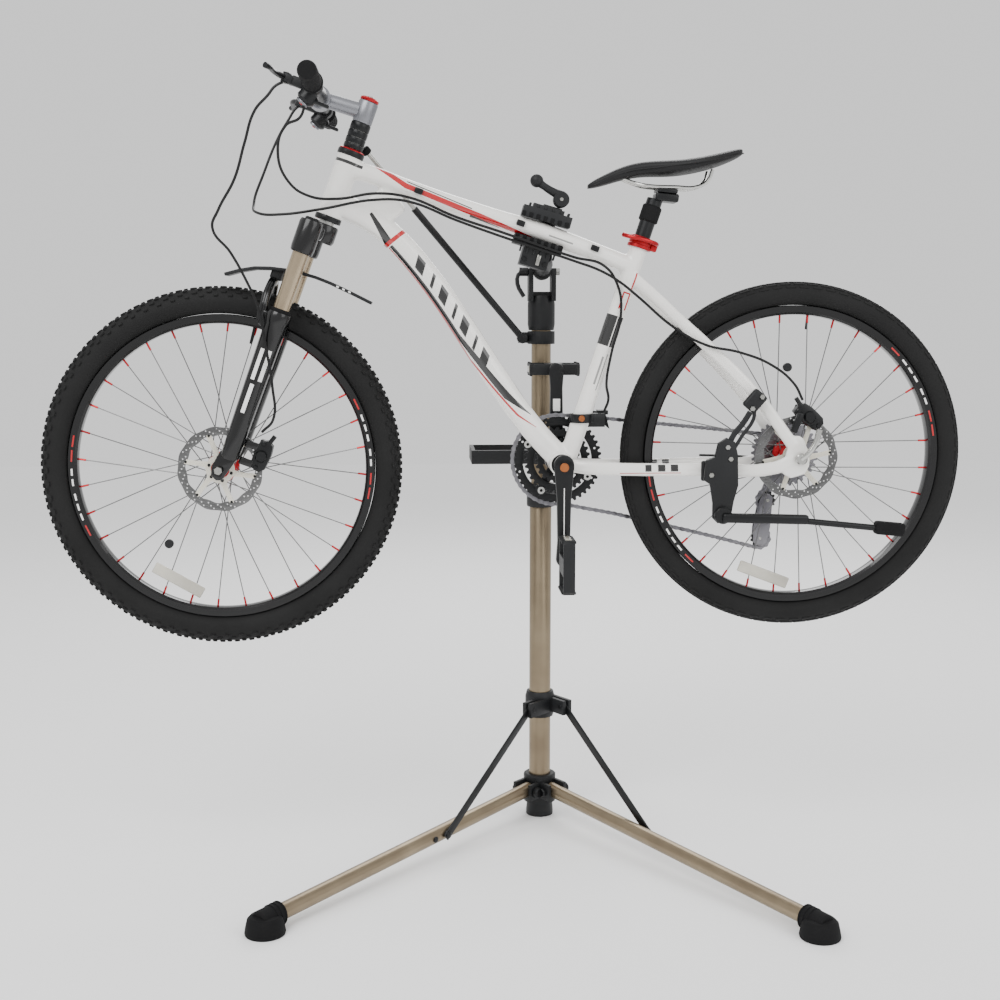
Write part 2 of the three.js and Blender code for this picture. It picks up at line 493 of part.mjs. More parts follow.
add('crankset', BLACK_METAL, join(
  rod([BRACKET[0], -67.7, BRACKET[1]], [BRACKET[0], 86, BRACKET[1]], 12, 16),
  chainRing(RING_R, 50, CHAIN_Y), chainRing(64, 48, CHAIN_Y - 7),
  rod([BRACKET[0], 38, BRACKET[1]], [BRACKET[0], 70, BRACKET[1]], 18, 16),
  ...spider, ...ringBolt, crankArm(1, 1)));
add('crank_left', BLACK_METAL, crankArm(-1, -1).subtract(
  rod([BRACKET[0], -60, BRACKET[1]], [BRACKET[0], -68, BRACKET[1]], 12.4, 16)));
function pedal(side, up) {
  const x = BRACKET[0];
  const z = BRACKET[1] + up * CRANK;
  const y = (distance) => side * distance;
  const cage = box([x, y(140), z], [100, 80, 22])
    .subtract(box([x - 30, y(140), z], [28, 66, 40]))
    .subtract(box([x + 30, y(140), z], [28, 66, 40]));
  const turn = up > 0 ? 0 : Math.PI / 2;
  const moved = cage.translate([-x, 0, -z]).rotate([0, turn * 180 / Math.PI, 0]).translate([x, 0, z]);
  return join(moved, rod([x, y(CRANK_Y + 9.4), z], [x, y(176), z], 7, 12));
}
add('pedal_left', BLACK_PLASTIC, pedal(-1, -1));
add('pedal_right', BLACK_PLASTIC, pedal(1, 1));
add('cassette', STEEL, join(
  turned([[16.5, 37.5], [20.5, 37.5], [20.5, 62], [16.5, 62]], 16, true),
  turned([[18, 38.2], [68, 38.2], [68, 41], [18, 41]], 16, true),
  turned([[18, 42], [52, 42], [52, 45.5], [18, 45.5]], 16, true),
  turned([[18, 45], [41, 45], [41, 50], [18, 50]], 16, true),
  turned([[18, 49.5], [25, 49.5], [25, 61.5], [18, 61.5]], 16, true))
  .translate([REAR_AXLE[0], 0, REAR_AXLE[1]]));
const arcPoints = (centre, radius, from, to, count) => Array.from({ length: count }, (_, i) => {
  const angle = THREE.MathUtils.degToRad(from + (to - from) * i / (count - 1));
  return [centre[0] + radius * Math.cos(angle), CHAIN_Y, centre[1] + radius * Math.sin(angle)];
});
const UPPER_PULLEY = [438, 694], LOWER_PULLEY = [424, 618], PULLEY_R = 19;
const chainPath = [
  ...arcPoints(BRACKET, CHAIN_RING_R, 84, 262, 9),
  [130, CHAIN_Y, 672], [280, CHAIN_Y, 634],
  ...arcPoints(LOWER_PULLEY, PULLEY_R, -100, 20, 4),
  ...arcPoints(UPPER_PULLEY, PULLEY_R, 200, 110, 3),
  ...arcPoints(REAR_AXLE, COG_R, -110, 84, 7),
  [320, CHAIN_Y, 836], [150, CHAIN_Y, 853]];
// The chain is a flat band: the path's outline moved out, less the same outline moved in.
function chainOutline(offset) {
  const path = new THREE.CatmullRomCurve3(
    chainPath.map((p) => new THREE.Vector3(...p)), true, 'centripetal');
  return Array.from({ length: 80 }, (_, i) => {
    const at = path.getPointAt(i / 80);
    const along = path.getTangentAt(i / 80);
    return [at.x + offset * along.z, at.z - offset * along.x];
  });
}
const [bandA, bandB] = [3.8, -3.8].map(
  (offset) => plate(chainOutline(offset), CHAIN_Y - 3.4, CHAIN_Y + 3.4));
add('chain', STEEL, bandA.volume() > bandB.volume()
  ? bandA.subtract(bandB) : bandB.subtract(bandA));
add('rear_derailleur', STEEL, join(
  rod([452, 73, 742], [444, 76, 704], 8, 10), rod([438, 62, 694], [438, 84, 694], 15, 12),
  plate([[448, 700], [434, 706], [412, 612], [418, 604], [434, 604], [438, 612]], 60.5, 63),
  plate([[448, 700], [434, 706], [412, 612], [418, 604], [434, 604], [438, 612]], 47, 49.5),
  rod([438, 47, 694], [438, 64, 694], 11, 12), rod([424, 47, 618], [424, 64, 618], 12, 10)));
add('front_derailleur', BLACK_METAL, join(
  turned([[18.6, 855], [23, 855], [23, 872], [18.6, 872]], 18)
    .translate([-10, 0, 0]).rotate([0, 0, 0]).translate([seatX(864) + 10, 0, 0]),
  box([88, 22, 858], [36, 20, 26]), box([104, 40, 872], [20, 30, 8]),
  plate([[62, 880], [112, 868], [120, 838], [78, 874]], 61, 63),
  plate([[62, 880], [112, 868], [120, 838], [78, 874]], 46.5, 48.5),
  box([88, 54.8, 871], [28, 17, 6], 0.24))
  .subtract(rod([seatX(840), 0, 840], [seatX(890), 0, 890], 18.4, 16)));

// ---- Rear brake, kickstand and hoses ----
add('rear_caliper', BLACK_METAL, join(
  box([486, -41, 868], [46, 9, 40], -0.2), box([486, -55, 868], [46, 9, 40], -0.2),
  box([486, -48, 890], [46, 23, 10], -0.2))
  .subtract(rod([REAR_AXLE[0], -50.4, REAR_AXLE[1]], [REAR_AXLE[0], -45.6, REAR_AXLE[1]], 84, 24)));
add('kickstand_mount', BLACK_PLASTIC, join(
  box([312, -75.2, 768], [66, 9, 42]), box([330, -84, 770], [30, 26, 76]),
  box([318, -84, 700], [34, 14, 74]),
  plate([[322, 800], [342, 798], [388, 872], [372, 882]], -92, -86),
  plate([[362, 900], [392, 918], [400, 896], [372, 876]], -92, -76)));
add('kickstand_leg', BLACK_METAL, join(
  rod([316, -104, 686], [316, -92, 686], 16, 14),
  sweep([[316, -104, 686], [400, -104, 678], [480, -104, 674]], [9, 10], { steps: 4, sides: 8 }),
  rod([476, -104, 674], [612, -104, 660], 6, 10),
  box([634, -104, 660], [58, 26, 26], 0.1)));
const HOSE_R = 2.6;
const hose = (points, steps) => sweep(points, [HOSE_R, HOSE_R], { steps, sides: 6 });
add('front_brake_hose', BLACK_PLASTIC, hose([[-512, -148, 1440], [-536, -140, 1415],
  [-556, -132, 1360], [-575, -128, 1300], [-608, -110, 1245], [-620, -100, 1215],
  [-590, -92, 1172], [-562, -92, 1120], [-545, -92, 1080], [-530, -92, 1000],
  [-520, -92, 930], [-520, -90, 870], [-542, -78, 846]], 26));
add('rear_brake_hose', BLACK_PLASTIC, hose([[-500, 146, 1438], [-520, 128, 1400],
  [-545, 90, 1330], [-560, 40, 1270], [-545, -20, 1246], [-500, -44, 1243],
  [-430, -50, 1252], [-330, -42, 1270], [-270, -31, 1268], [-180, -29, 1234],
  [-100, -29, 1206], [40, -29, 1160], [90, -29, 1142], [128, -31, 1120], [158, -34, 1096],
  [228, -48, 1036], [286, -60, 1004], [350, -66, 990], [411, -66, 966], [456, -62, 930],
  [474, -56, 900]], 38));
add('shift_cables', BLACK_PLASTIC, hose([[-440, -160, 1400], [-486, -140, 1390],
  [-500, -110, 1350], [-486, -70, 1300], [-450, -42, 1276], [-400, -34, 1272],
  [-330, -34, 1282], [-270, -29, 1276], [-180, -29, 1240], [-100, -29, 1214],
  [40, -29, 1167], [96, -25, 1152], [122, -23, 1118], [130, -23, 1062], [112, -23, 985],
  [104, -21, 930], [110, -6, 900], [106, 16, 877]], 38));

export default object;
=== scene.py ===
"""A hardtail mountain bicycle held by its top tube in a folding repair stand."""
import math

import bpy
from mathutils import Matrix, Vector


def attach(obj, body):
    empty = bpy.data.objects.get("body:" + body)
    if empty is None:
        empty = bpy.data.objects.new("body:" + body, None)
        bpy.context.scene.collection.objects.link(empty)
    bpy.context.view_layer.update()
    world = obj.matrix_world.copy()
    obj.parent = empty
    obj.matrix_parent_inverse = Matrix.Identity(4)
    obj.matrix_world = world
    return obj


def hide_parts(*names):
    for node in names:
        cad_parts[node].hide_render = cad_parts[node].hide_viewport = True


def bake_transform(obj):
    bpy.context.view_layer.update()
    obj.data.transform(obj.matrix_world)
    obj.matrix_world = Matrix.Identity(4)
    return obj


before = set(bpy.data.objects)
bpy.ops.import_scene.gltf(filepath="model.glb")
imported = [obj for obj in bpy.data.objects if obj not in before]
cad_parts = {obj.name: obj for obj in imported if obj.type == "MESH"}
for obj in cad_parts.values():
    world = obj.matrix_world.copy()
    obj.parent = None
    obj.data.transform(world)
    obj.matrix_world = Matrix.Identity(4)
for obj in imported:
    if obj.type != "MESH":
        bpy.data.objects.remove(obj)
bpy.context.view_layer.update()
for other in bpy.context.selected_objects:
    other.select_set(False)

# ---- Camera, light and floor ----
# A short telephoto at chest height, a little to the front wheel's side of square.
camera_data = bpy.data.cameras.new("camera")
camera = bpy.data.objects.new("camera", camera_data)
bpy.context.collection.objects.link(camera)
camera.location = (-0.263, -2.940, 1.070)
camera.rotation_euler = (math.radians(90 - 7.6), 0, math.radians(-3.47))
camera_data.lens = 51.4
camera_data.sensor_width = 36
bpy.context.scene.camera = camera


def colour(hex_code, alpha=1.0):
    """An sRGB hex colour as linear light."""
    parts = [int(hex_code[i:i + 2], 16) / 255 for i in (1, 3, 5)]
    line = [c / 12.92 if c <= 0.04045 else ((c + 0.055) / 1.055) ** 2.4 for c in parts]
    return (*line, alpha)


def node(tree, kind, settings=(), links=()):
    """Adds one node. Links give its inputs, each another node's output or a plain value."""
    made = tree.nodes.new("ShaderNode" + kind)
    for key, value in dict(settings).items():
        if isinstance(key, int) or key in made.inputs:
            made.inputs[key].default_value = value
        else:
            setattr(made, key, value)
    for key, source in dict(links).items():
        if isinstance(source, (int, float)):
            made.inputs[key].default_value = source
        else:
            tree.links.new(source, made.inputs[key])
    return made


world = bpy.data.worlds.new("studio")
bpy.context.scene.world = world
world.use_nodes = True
world.node_tree.nodes["Background"].inputs["Color"].default_value = (1, 1, 1, 1)
world.node_tree.nodes["Background"].inputs["Strength"].default_value = 1.0
for label, place, turn, size, watts in (
        ("key", (-1.6, -2.4, 3.4), (38, 0, -34), 2.2, 95),
        ("fill", (2.4, -2.6, 2.2), (56, 0, 42), 2.4, 45),
        ("rim", (0.4, 2.6, 2.8), (-48, 0, 4), 2.0, 50)):
    lamp_data = bpy.data.lights.new(label, "AREA")
    lamp_data.size = size
    lamp_data.energy = watts
    lamp = bpy.data.objects.new(label, lamp_data)
    lamp.location = place
    lamp.rotation_euler = [math.radians(a) for a in turn]
    bpy.context.collection.objects.link(lamp)
bpy.ops.mesh.primitive_plane_add(size=14, location=(0, 0, -0.0005))
floor = bpy.context.object
floor.name = "floor"
floor_paint = bpy.data.materials.new("pale matt floor")
floor_paint.use_nodes = True
floor_shader = floor_paint.node_tree.nodes["Principled BSDF"]
floor_shader.inputs["Base Color"].default_value = colour("#FFFFFF")
floor_shader.inputs["Roughness"].default_value = 0.9
floor.data.materials.append(floor_paint)

# ---- Stand: mast and legs ----
# Drawn aluminium tube, brushed round its length and anodised a warm bronze. The upper tube
# slides in the lower one; the legs are pinned in the hub.
MM = 0.001
HERE = Matrix.Identity(4)
BIKE = Matrix.Translation((0, -0.214, 0))
LEAN = math.atan2(46, 124)
STEER = Matrix.Translation((-0.420, -0.214, 1.236)) @ Matrix.Rotation(LEAN, 4, "Y")


def finish_of(name, light, dark, roughness, metallic=0.0, grain=0.0, grain_mm=1.0, stretch=(1, 1, 1),
              coat=0.0, specular=0.5, rough_spread=0.08):
    """A material with fine relief, and colour and roughness that vary a little over it."""
    material = bpy.data.materials.new(name)
    material.use_nodes = True
    tree = material.node_tree
    shader = tree.nodes["Principled BSDF"]
    shader.inputs["Metallic"].default_value = metallic
    shader.inputs["Coat Weight"].default_value = coat
    shader.inputs["Coat Roughness"].default_value = 0.06
    if metallic < 0.5:
        shader.inputs["Specular IOR Level"].default_value = specular
    place = node(tree, "TexCoord").outputs["Object"]
    spread = node(tree, "Mapping", {"Scale": stretch}, {"Vector": place}).outputs[0]
    fine = node(tree, "TexNoise", {"Scale": 1 / (grain_mm * MM) / 3, "Detail": 4.0},
                {"Vector": spread}).outputs["Fac"]
    broad = node(tree, "TexNoise", {"Scale": 9.0, "Detail": 3.0}, {"Vector": place}).outputs["Fac"]
    blend = node(tree, "ValToRGB", (), {"Fac": broad})
    blend.color_ramp.elements[0].position = 0.3
    blend.color_ramp.elements[0].color = colour(dark)
    blend.color_ramp.elements[1].position = 0.7
    blend.color_ramp.elements[1].color = colour(light)
    tree.links.new(blend.outputs[0], shader.inputs["Base Color"])
    rough = node(tree, "MapRange", {3: roughness - rough_spread, 4: roughness + rough_spread},
                 {0: fine}).outputs[0]
    tree.links.new(rough, shader.inputs["Roughness"])
    if grain:
        relief = node(tree, "Bump", {"Strength": grain, "Distance": 0.0004}, {"Height": fine})
        tree.links.new(relief.outputs[0], shader.inputs["Normal"])
    return material


def select_only(piece):
    for one in bpy.context.selected_objects:
        one.select_set(False)
    piece.select_set(True)
    bpy.context.view_layer.objects.active = piece


def apply_modifier(piece, kind, **settings):
    select_only(piece)
    made = piece.modifiers.new(kind.lower(), kind)
    for key, value in settings.items():
        setattr(made, key, value)
    bpy.ops.object.modifier_apply(modifier=made.name)


def close_up(piece, angle=35):
    """Merges doubles, turns every face outwards and shades it smooth up to an angle."""
    select_only(piece)
    bpy.ops.object.mode_set(mode="EDIT")
    bpy.ops.mesh.select_all(action="SELECT")
    bpy.ops.mesh.remove_doubles(threshold=0.00001)
    bpy.ops.mesh.normals_make_consistent(inside=False)
    bpy.ops.object.mode_set(mode="OBJECT")
    bpy.ops.object.shade_smooth_by_angle(angle=math.radians(angle))


def mesh_piece(name, points, edges=(), faces=()):
    data = bpy.data.meshes.new(name)
    data.from_pydata([tuple(c * MM for c in p) for p in points], edges, faces)
    piece = bpy.data.objects.new(name, data)
    bpy.context.collection.objects.link(piece)
    return piece


def turned(name, outline, steps=48, axis="Z", at=(0, 0, 0), closed=True, angle=35):
    """Spins a half outline of (radius, height) in mm about an axis through a point."""
    flat = [(r, 0, h) if axis == "Z" else (0, h, r) if axis == "Y" else (h, r, 0)
            for r, h in outline]
    count = len(flat)
    edges = [(i, (i + 1) % count) for i in range(count if closed else count - 1)]
    piece = mesh_piece(name, flat, edges)
    apply_modifier(piece, "SCREW", axis=axis, steps=steps, render_steps=steps,
                   use_merge_vertices=True, merge_threshold=0.00001)
    piece.data.transform(Matrix.Translation(Vector(at) * MM))
    close_up(piece, angle)
    return piece


def rounded(piece, width, segments=2, angle=30):
    apply_modifier(piece, "BEVEL", width=width * MM, segments=segments, limit_method="ANGLE",
                   angle_limit=math.radians(angle), use_clamp_overlap=True)
    close_up(piece, 40)
    return piece


def block(name, centre, size, turn=0.0, bevel=1.5, segments=2):
    bpy.ops.mesh.primitive_cube_add(size=1)
    piece = bpy.context.object
    piece.name = name
    piece.data.transform(Matrix.Translation(Vector(centre) * MM)
                         @ Matrix.Rotation(turn, 4, "Y") @ Matrix.Diagonal((*[s * MM for s in size], 1)))
    return rounded(piece, bevel, segments)


def bar(name, start, end, radius, sides=24, end_radius=None, bevel=0.6):
    """A turned bar between two points, with its ends eased."""
    along = Vector(end) - Vector(start)
    far = radius if end_radius is None else end_radius
    length = along.length
    outline = [(0, 0), (radius - bevel, 0), (radius, bevel), (far, length - bevel),
               (far - bevel, length), (0, length)]
    piece = turned(name, outline, sides, closed=False)
    piece.data.transform(Matrix.Translation(Vector(start) * MM)
                         @ along.to_track_quat("Z", "Y").to_matrix().to_4x4())
    return piece


def joined(name, pieces):
    select_only(pieces[0])
    for one in pieces[1:]:
        one.select_set(True)
    if len(pieces) > 1:
        bpy.ops.object.join()
    piece = bpy.context.view_layer.objects.active
    piece.name = name
    return piece


def fit(piece, body, material, place=HERE, stands_for=()):
    """Puts a finished piece in place on its body, with its finish."""
    piece.data.transform(place)
    piece.data.materials.clear()
    piece.data.materials.append(material)
    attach(piece, body)
    if stands_for:
        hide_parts(*([stands_for] if isinstance(stands_for, str) else stands_for))
    return piece


# Anodised aluminium: a satin metal sheen with drawing lines along the tube.
bronze = finish_of("bronze anodised aluminium", "#94866F", "#786A57", 0.34, 0.85, 0.10, 0.8, (1, 1, 0.04))
# Moulded rubber: black and quite dull, so only its edges catch light.
soft_rubber = finish_of("black moulded rubber", "#131314", "#0C0C0D", 0.8, 0, 0.5, 1.2, specular=0.2)
# Black anodising over shot-peened aluminium: a soft satin glint.
black_satin = finish_of("satin black anodised", "#141517", "#0E0F10", 0.36, 0.2, 0.12, 0.7, specular=0.35)
fit(turned("mast_lower", [(20.9, 6.3), (22.5, 6.3), (22.5, 699), (21.9, 700), (20.9, 700)], 64),
    "stand_base", bronze, stands_for="mast_lower_tube")
fit(turned("mast_upper", [(18.4, 450), (20, 450), (20, 1078), (18.4, 1078)], 64),
    "upper_mast", bronze, stands_for="mast_upper_tube")
for side, foot_at in (("left", (-525, -568)), ("right", (427, -640))):
    angle = math.atan2(foot_at[1], foot_at[0])
    reach = math.hypot(*foot_at)
    slope = 38 / (reach - 46)
    def leg_z(r):
        return 62 - slope * (r - 46)
    turn = Matrix.Rotation(angle, 4, "Z")
    tube_piece = bar(f"leg_tube_{side}", (38, 0, leg_z(38)), (reach + 4, 0, leg_z(reach + 4)), 15, 40)
    fit(tube_piece, f"{side}_leg", bronze, turn, f"leg_{side}")
    pin = bar(f"leg_pin_{side}", (46, -31, 62), (46, 31, 62), 7, 20)
    knob = turned(f"leg_knob_{side}", [(0, 25), (10, 25), (11.5, 27), (11.5, 33), (9, 36), (0, 36.5)],
                  12, "Y", (46, 0, 62), closed=False, angle=20)
    knob_two = turned(f"leg_knob_two_{side}", [(0, -25), (9, -25), (9, -30), (7, -32), (0, -32)],
                      6, "Y", (46, 0, 62), closed=False, angle=20)
    fit(joined(f"leg_bolt_{side}", [pin, knob, knob_two]), f"{side}_leg", black_satin, turn)
    rivet = turned(f"leg_rivet_{side}", [(0, 15), (6, 15), (6, 17), (4, 18.5), (0, 19)], 20, "Y",
                   (350, 0, leg_z(350)), closed=False)
    fit(rivet, f"{side}_leg", black_satin, turn)
    end_rivet = turned(f"strut_rivet_{side}", [(0, 14), (7, 14), (7, 22.5), (5, 24), (0, 24.5)], 20,
                       "Y", (318, 0, leg_z(318)), closed=False)
    fit(end_rivet, f"{side}_leg", black_satin, turn)
    shoe = turned(f"shoe_{side}", [(0, 0), (35, 0), (36, 3), (34, 14), (31, 27), (26, 32), (14, 34), (0, 34)],
                  40, "Z", (reach + 2, 0, 0), closed=False)
    cuff = bar(f"cuff_{side}", (reach - 34, 0, leg_z(reach - 34)), (reach + 17, 0, leg_z(reach + 17)),
               20.5, 36, bevel=3)
    lips = [turned(f"lip_{side}_{i}", [(20, -2), (22, -1), (22, 1), (20, 2)], 36, "X",
                   (reach - 30 + 9 * i, 0, leg_z(reach - 30 + 9 * i))) for i in range(3)]
    fit(joined(f"rubber_foot_{side}", [shoe, cuff, *lips]), f"{side}_leg", soft_rubber, turn,
        f"foot_{side}")
    run, rise = 318 - 58, 244 - leg_z(318)
    strut = block(f"strut_bar_{side}", (188, 19, (244 + leg_z(318)) / 2),
                  (math.hypot(run, rise) + 16, 4, 17), math.atan2(rise, run), 1.6, 3)
    fit(strut, f"{side}_strut", black_satin, turn, f"strut_{side}")
    ear_bolt = bar(f"ear_bolt_{side}", (58, 6, 244), (58, 32, 244), 5, 16)
    fit(ear_bolt, "collar", black_satin, turn)

# ---- Stand: hub, collar, height clamp, tray and stabiliser ----
# Glass-filled nylon mouldings with rounded edges, bolted round the mast.


def moulded(name, cad_node, bevel=1.2, segments=2, angle=32, smooth=40):
    """A CAD piece's own shape with its edges rounded as the mould or the mill leaves them."""
    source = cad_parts[cad_node]
    piece = source.copy()
    piece.data = source.data.copy()
    piece.animation_data_clear()
    piece.parent = None
    piece.matrix_world = source.matrix_world.copy()
    piece.name = name
    bpy.context.collection.objects.link(piece)
    select_only(piece)
    bpy.ops.object.mode_set(mode="EDIT")
    bpy.ops.mesh.select_all(action="SELECT")
    bpy.ops.mesh.remove_doubles(threshold=0.00002)
    bpy.ops.mesh.dissolve_limited(angle_limit=math.radians(2))
    bpy.ops.object.mode_set(mode="OBJECT")
    if bevel:
        apply_modifier(piece, "BEVEL", width=bevel * MM, segments=segments, limit_method="ANGLE",
                       angle_limit=math.radians(angle), use_clamp_overlap=True)
    select_only(piece)
    bpy.ops.object.shade_smooth_by_angle(angle=math.radians(smooth))
    return piece


def copies(piece, places):
    """One mesh holding the piece once at each placing matrix."""
    made = []
    for place in places:
        twin = piece.copy()
        twin.data = piece.data.copy()
        twin.data.transform(place)
        bpy.context.collection.objects.link(twin)
        made.append(twin)
    bpy.data.objects.remove(piece)
    return joined(made[0].name, made)


def around(count, axis="Y", offset=0.0):
    return [Matrix.Rotation(offset + 2 * math.pi * i / count, 4, axis) for i in range(count)]


# Glass-filled nylon from the mould: near black, half matt, with a fine pebbled skin.
plastic = finish_of("moulded black nylon", "#1A1B1D", "#121314", 0.5, 0, 0.35, 0.9, specular=0.3)
for label, cad_node, body, edge in (
        ("hub_moulding", "leg_hub", "stand_base", 2.0), ("collar_moulding", "strut_collar", "collar", 1.6),
        ("height_clamp_moulding", "height_clamp", "stand_base", 1.6),
        ("stabiliser_ring", "stabiliser_collar", "upper_mast", 1.4),
        ("yoke_moulding", "head_yoke", "upper_mast", 1.4),
        ("tray_moulding", "tool_tray", "upper_mast", 1.8),
        ("clamp_moulding", "clamp_body", "bicycle", 1.8), ("upper_jaw_moulding", "clamp_jaw",
                                                           "upper_jaw", 1.6)):
    fit(moulded(label, cad_node, edge), body, plastic, HERE, cad_node)
ribs = copies(block("rib", (29.5, 0, 62), (3, 5, 40), bevel=0.8), around(9, "Z", 0.9))
fit(ribs, "stand_base", plastic)
fit(moulded("stabiliser_bar", "stabiliser_arm", 0.8), "stabiliser", black_satin, HERE,
    "stabiliser_arm")
# Turned and plated steel: bright, with fine tool marks.
steel = finish_of("machined steel", "#B4B4B2", "#96968F", 0.28, 0.95, 0.12, 0.5)
stab_start, stab_end = Vector((-40, -12, 1012)), Vector((-352, -182, 1370))
inner_rod = bar("stabiliser_rod", stab_start.lerp(stab_end, 0.68), stab_end, 4.2, 20)
fit(inner_rod, "stabiliser", steel)
cradle = bar("stabiliser_cradle", stab_start.lerp(stab_end, 0.975), stab_end, 9, 20, bevel=2)
fit(cradle, "stabiliser", soft_rubber)

# ---- Stand: clamp head levers and jaw pads ----
# Cast cam levers with a ball end; rubber pads line the two jaws.


def drawn(name, points, radius, sides=12, resolution=6):
    """A round bar or tube along a smooth curve; radius is one value or one for each point."""
    data = bpy.data.curves.new(name, "CURVE")
    data.dimensions = "3D"
    data.resolution_u = resolution
    data.bevel_depth = MM
    data.bevel_resolution = max(0, sides // 4 - 1)
    data.use_fill_caps = True
    spline = data.splines.new("BEZIER")
    spline.bezier_points.add(len(points) - 1)
    for i, point in enumerate(points):
        spline.bezier_points[i].co = Vector(point) * MM
        spline.bezier_points[i].handle_left_type = "AUTO"
        spline.bezier_points[i].handle_right_type = "AUTO"
        spline.bezier_points[i].radius = radius[i] if isinstance(radius, (list, tuple)) else radius
    piece = bpy.data.objects.new(name, data)
    bpy.context.collection.objects.link(piece)
    select_only(piece)
    bpy.ops.object.convert(target="MESH")
    piece = bpy.context.object
    close_up(piece, 40)
    return piece


fit(moulded("cross_bolt_cam", "head_lever", 1.2, 3), "cross_bolt_lever", plastic, HERE,
    "head_lever")
fit(bar("cross_bolt_nut", (28, -14, 1146), (36, -14, 1146), 8, 6, bevel=0.8), "upper_mast", steel)
fit(bar("cross_bolt_end", (-47.5, -14, 1146), (-46, -14, 1146), 4, 16, bevel=0.4), "cross_bolt_lever",
    steel)
tilt = math.radians(16)


def jaw(x, z):
    return (-20 + x * math.cos(tilt) + z * math.sin(tilt), 1216.5 - x * math.sin(tilt) + z * math.cos(tilt))


lever_x, lever_z = jaw(20, 66)
cam = bar("cam", (lever_x, -226, lever_z), (lever_x, -202, lever_z), 15, 36, bevel=2)
shank = drawn("shank", [(lever_x + 4, -214, lever_z + 6), (lever_x - 14, -214, lever_z + 14),
                        (lever_x - 32, -214, lever_z + 25), (lever_x - 48, -214, lever_z + 36)],
              [10, 8, 7, 9], 20)
bpy.ops.mesh.primitive_uv_sphere_add(segments=32, ring_count=16, radius=0.0125,
                                     location=(0, 0, 0))
ball = bpy.context.object
ball.data.transform(Matrix.Translation(Vector((lever_x - 46, -214, lever_z + 35)) * MM))
fit(joined("jaw_cam_lever", [cam, shank, ball]), "jaw_lever", plastic, HERE, "clamp_lever")
pivot = bar("jaw_lever_pin", (lever_x, -228.5, lever_z), (lever_x, -199.5, lever_z), 3.5, 16)
fit(pivot, "jaw_lever", steel)
for label, height, body in (("lower", -21.5, "bicycle"), ("upper", 22.0, "upper_jaw")):
    strips = []
    for i in range(7):
        x, z = jaw(-42 + 14 * i, height)
        strips.append(block("strip", (x, -236.6, z), (7, 2.4, 9), tilt, 0.8))
    fit(joined(f"jaw_grip_{label}", strips), body, soft_rubber)
for i in range(6):
    x, z = jaw(-34 + 15 * i, 40)
    fit(block(f"jaw_rib_{i}", (x, -221, z), (4, 20, 9), tilt, 0.8), "upper_jaw", plastic)
for i in range(6):
    x, z = jaw(-30 + 13 * i, -38)
    fit(block(f"jaw_web_{i}", (x, -235, z), (3.5, 6, 20), tilt, 0.8), "bicycle", plastic)
x, z = jaw(8, -55)
fit(block("clamp_slot", (x, -237, z), (7, 2, 20), tilt, 1.0, 2), "bicycle", steel)
for along in (-18, 22):
    x, z = jaw(along, -60)
    fit(bar(f"clamp_screw_{along}", (x, -238, z), (x, -232, z), 4.5, 6, bevel=0.6), "bicycle", black_satin)

# ---- Wheels ----
# 26 inch: moulded rubber tyres with blocks of tread, black box rims with red nipples, 32
# steel spokes crossed three times, red anodised hubs and drilled steel brake discs.


def plate(name, outlines, low, high, bevel=0.4):
    """A flat plate of (x, z) outlines, the later ones holes, between two values of y."""
    data = bpy.data.curves.new(name, "CURVE")
    data.dimensions = "2D"
    data.fill_mode = "BOTH"
    data.bevel_depth = bevel * MM
    data.bevel_resolution = 1
    data.extrude = ((high - low) / 2 - bevel) * MM
    data.offset = -bevel * MM
    for outline in outlines:
        spline = data.splines.new("POLY")
        spline.points.add(len(outline) - 1)
        spline.use_cyclic_u = True
        for i, (x, z) in enumerate(outline):
            spline.points[i].co = (x * MM, z * MM, 0, 1)
    piece = bpy.data.objects.new(name, data)
    bpy.context.collection.objects.link(piece)
    select_only(piece)
    bpy.ops.object.convert(target="MESH")
    piece = bpy.context.object
    piece.data.transform(Matrix.Translation((0, (low + high) / 2 * MM, 0))
                         @ Matrix.Rotation(math.pi / 2, 4, "X"))
    close_up(piece, 30)
    return piece


def circle(centre, radius, count=16):
    """A ring of (x, z) points."""
    return [(centre[0] + radius * math.cos(2 * math.pi * i / count),
             centre[1] + radius * math.sin(2 * math.pi * i / count)) for i in range(count)]


# Carbon-black tyre rubber: dull, with a faint grain from the mould.
tyre_rubber = finish_of("tyre rubber", "#171717", "#0F0F0F", 0.72, 0, 0.5, 1.0, specular=0.25)
# Baked black enamel under lacquer: smooth and mirror-like at the edges.
black_gloss = finish_of("black enamel", "#0B0B0C", "#070708", 0.22, 0, 0.03, 0.8, coat=0.35,
                        specular=0.3, rough_spread=0.04)
# Dyed anodised aluminium: a clear deep red metal.
red_metal = finish_of("red anodised aluminium", "#BE2029", "#98121A", 0.3, 0.7, 0.08, 0.6)
# Cream powder coat on stamped aluminium: warm, satin and flat.
cream = finish_of("cream anodised", "#DEDACD", "#CEC9BA", 0.4, 0.25, 0.08, 0.7)
# Drawn stainless wire and ground disc steel: dark, with a narrow highlight.
spoke_steel = finish_of("dark stainless spoke", "#747474", "#5C5C5C", 0.3, 0.9, 0.05, 0.5)
# Printed decal film under lacquer: flat red.
red_print = finish_of("red lacquer", "#BA121A", "#AC0D14", 0.3, 0, 0.03, 0.8, coat=0.3)
# Printed decal film under lacquer: flat white.
white_print = finish_of("white lacquer", "#F4F4F2", "#ECECEA", 0.3, 0, 0.03, 0.8, coat=0.4)
# Prismed acrylic, yellowed a little: pale, with sparkle from its cells.
clear_plastic = finish_of("clear reflector", "#CFCBBD", "#98948A", 0.2, 0, 0.5, 2.2, coat=0.8)
FRONT_WHEEL = STEER @ Matrix.Translation((-0.0314, 0, -0.5045))
REAR_WHEEL = Matrix.Translation((0.467, -0.214, 0.790))


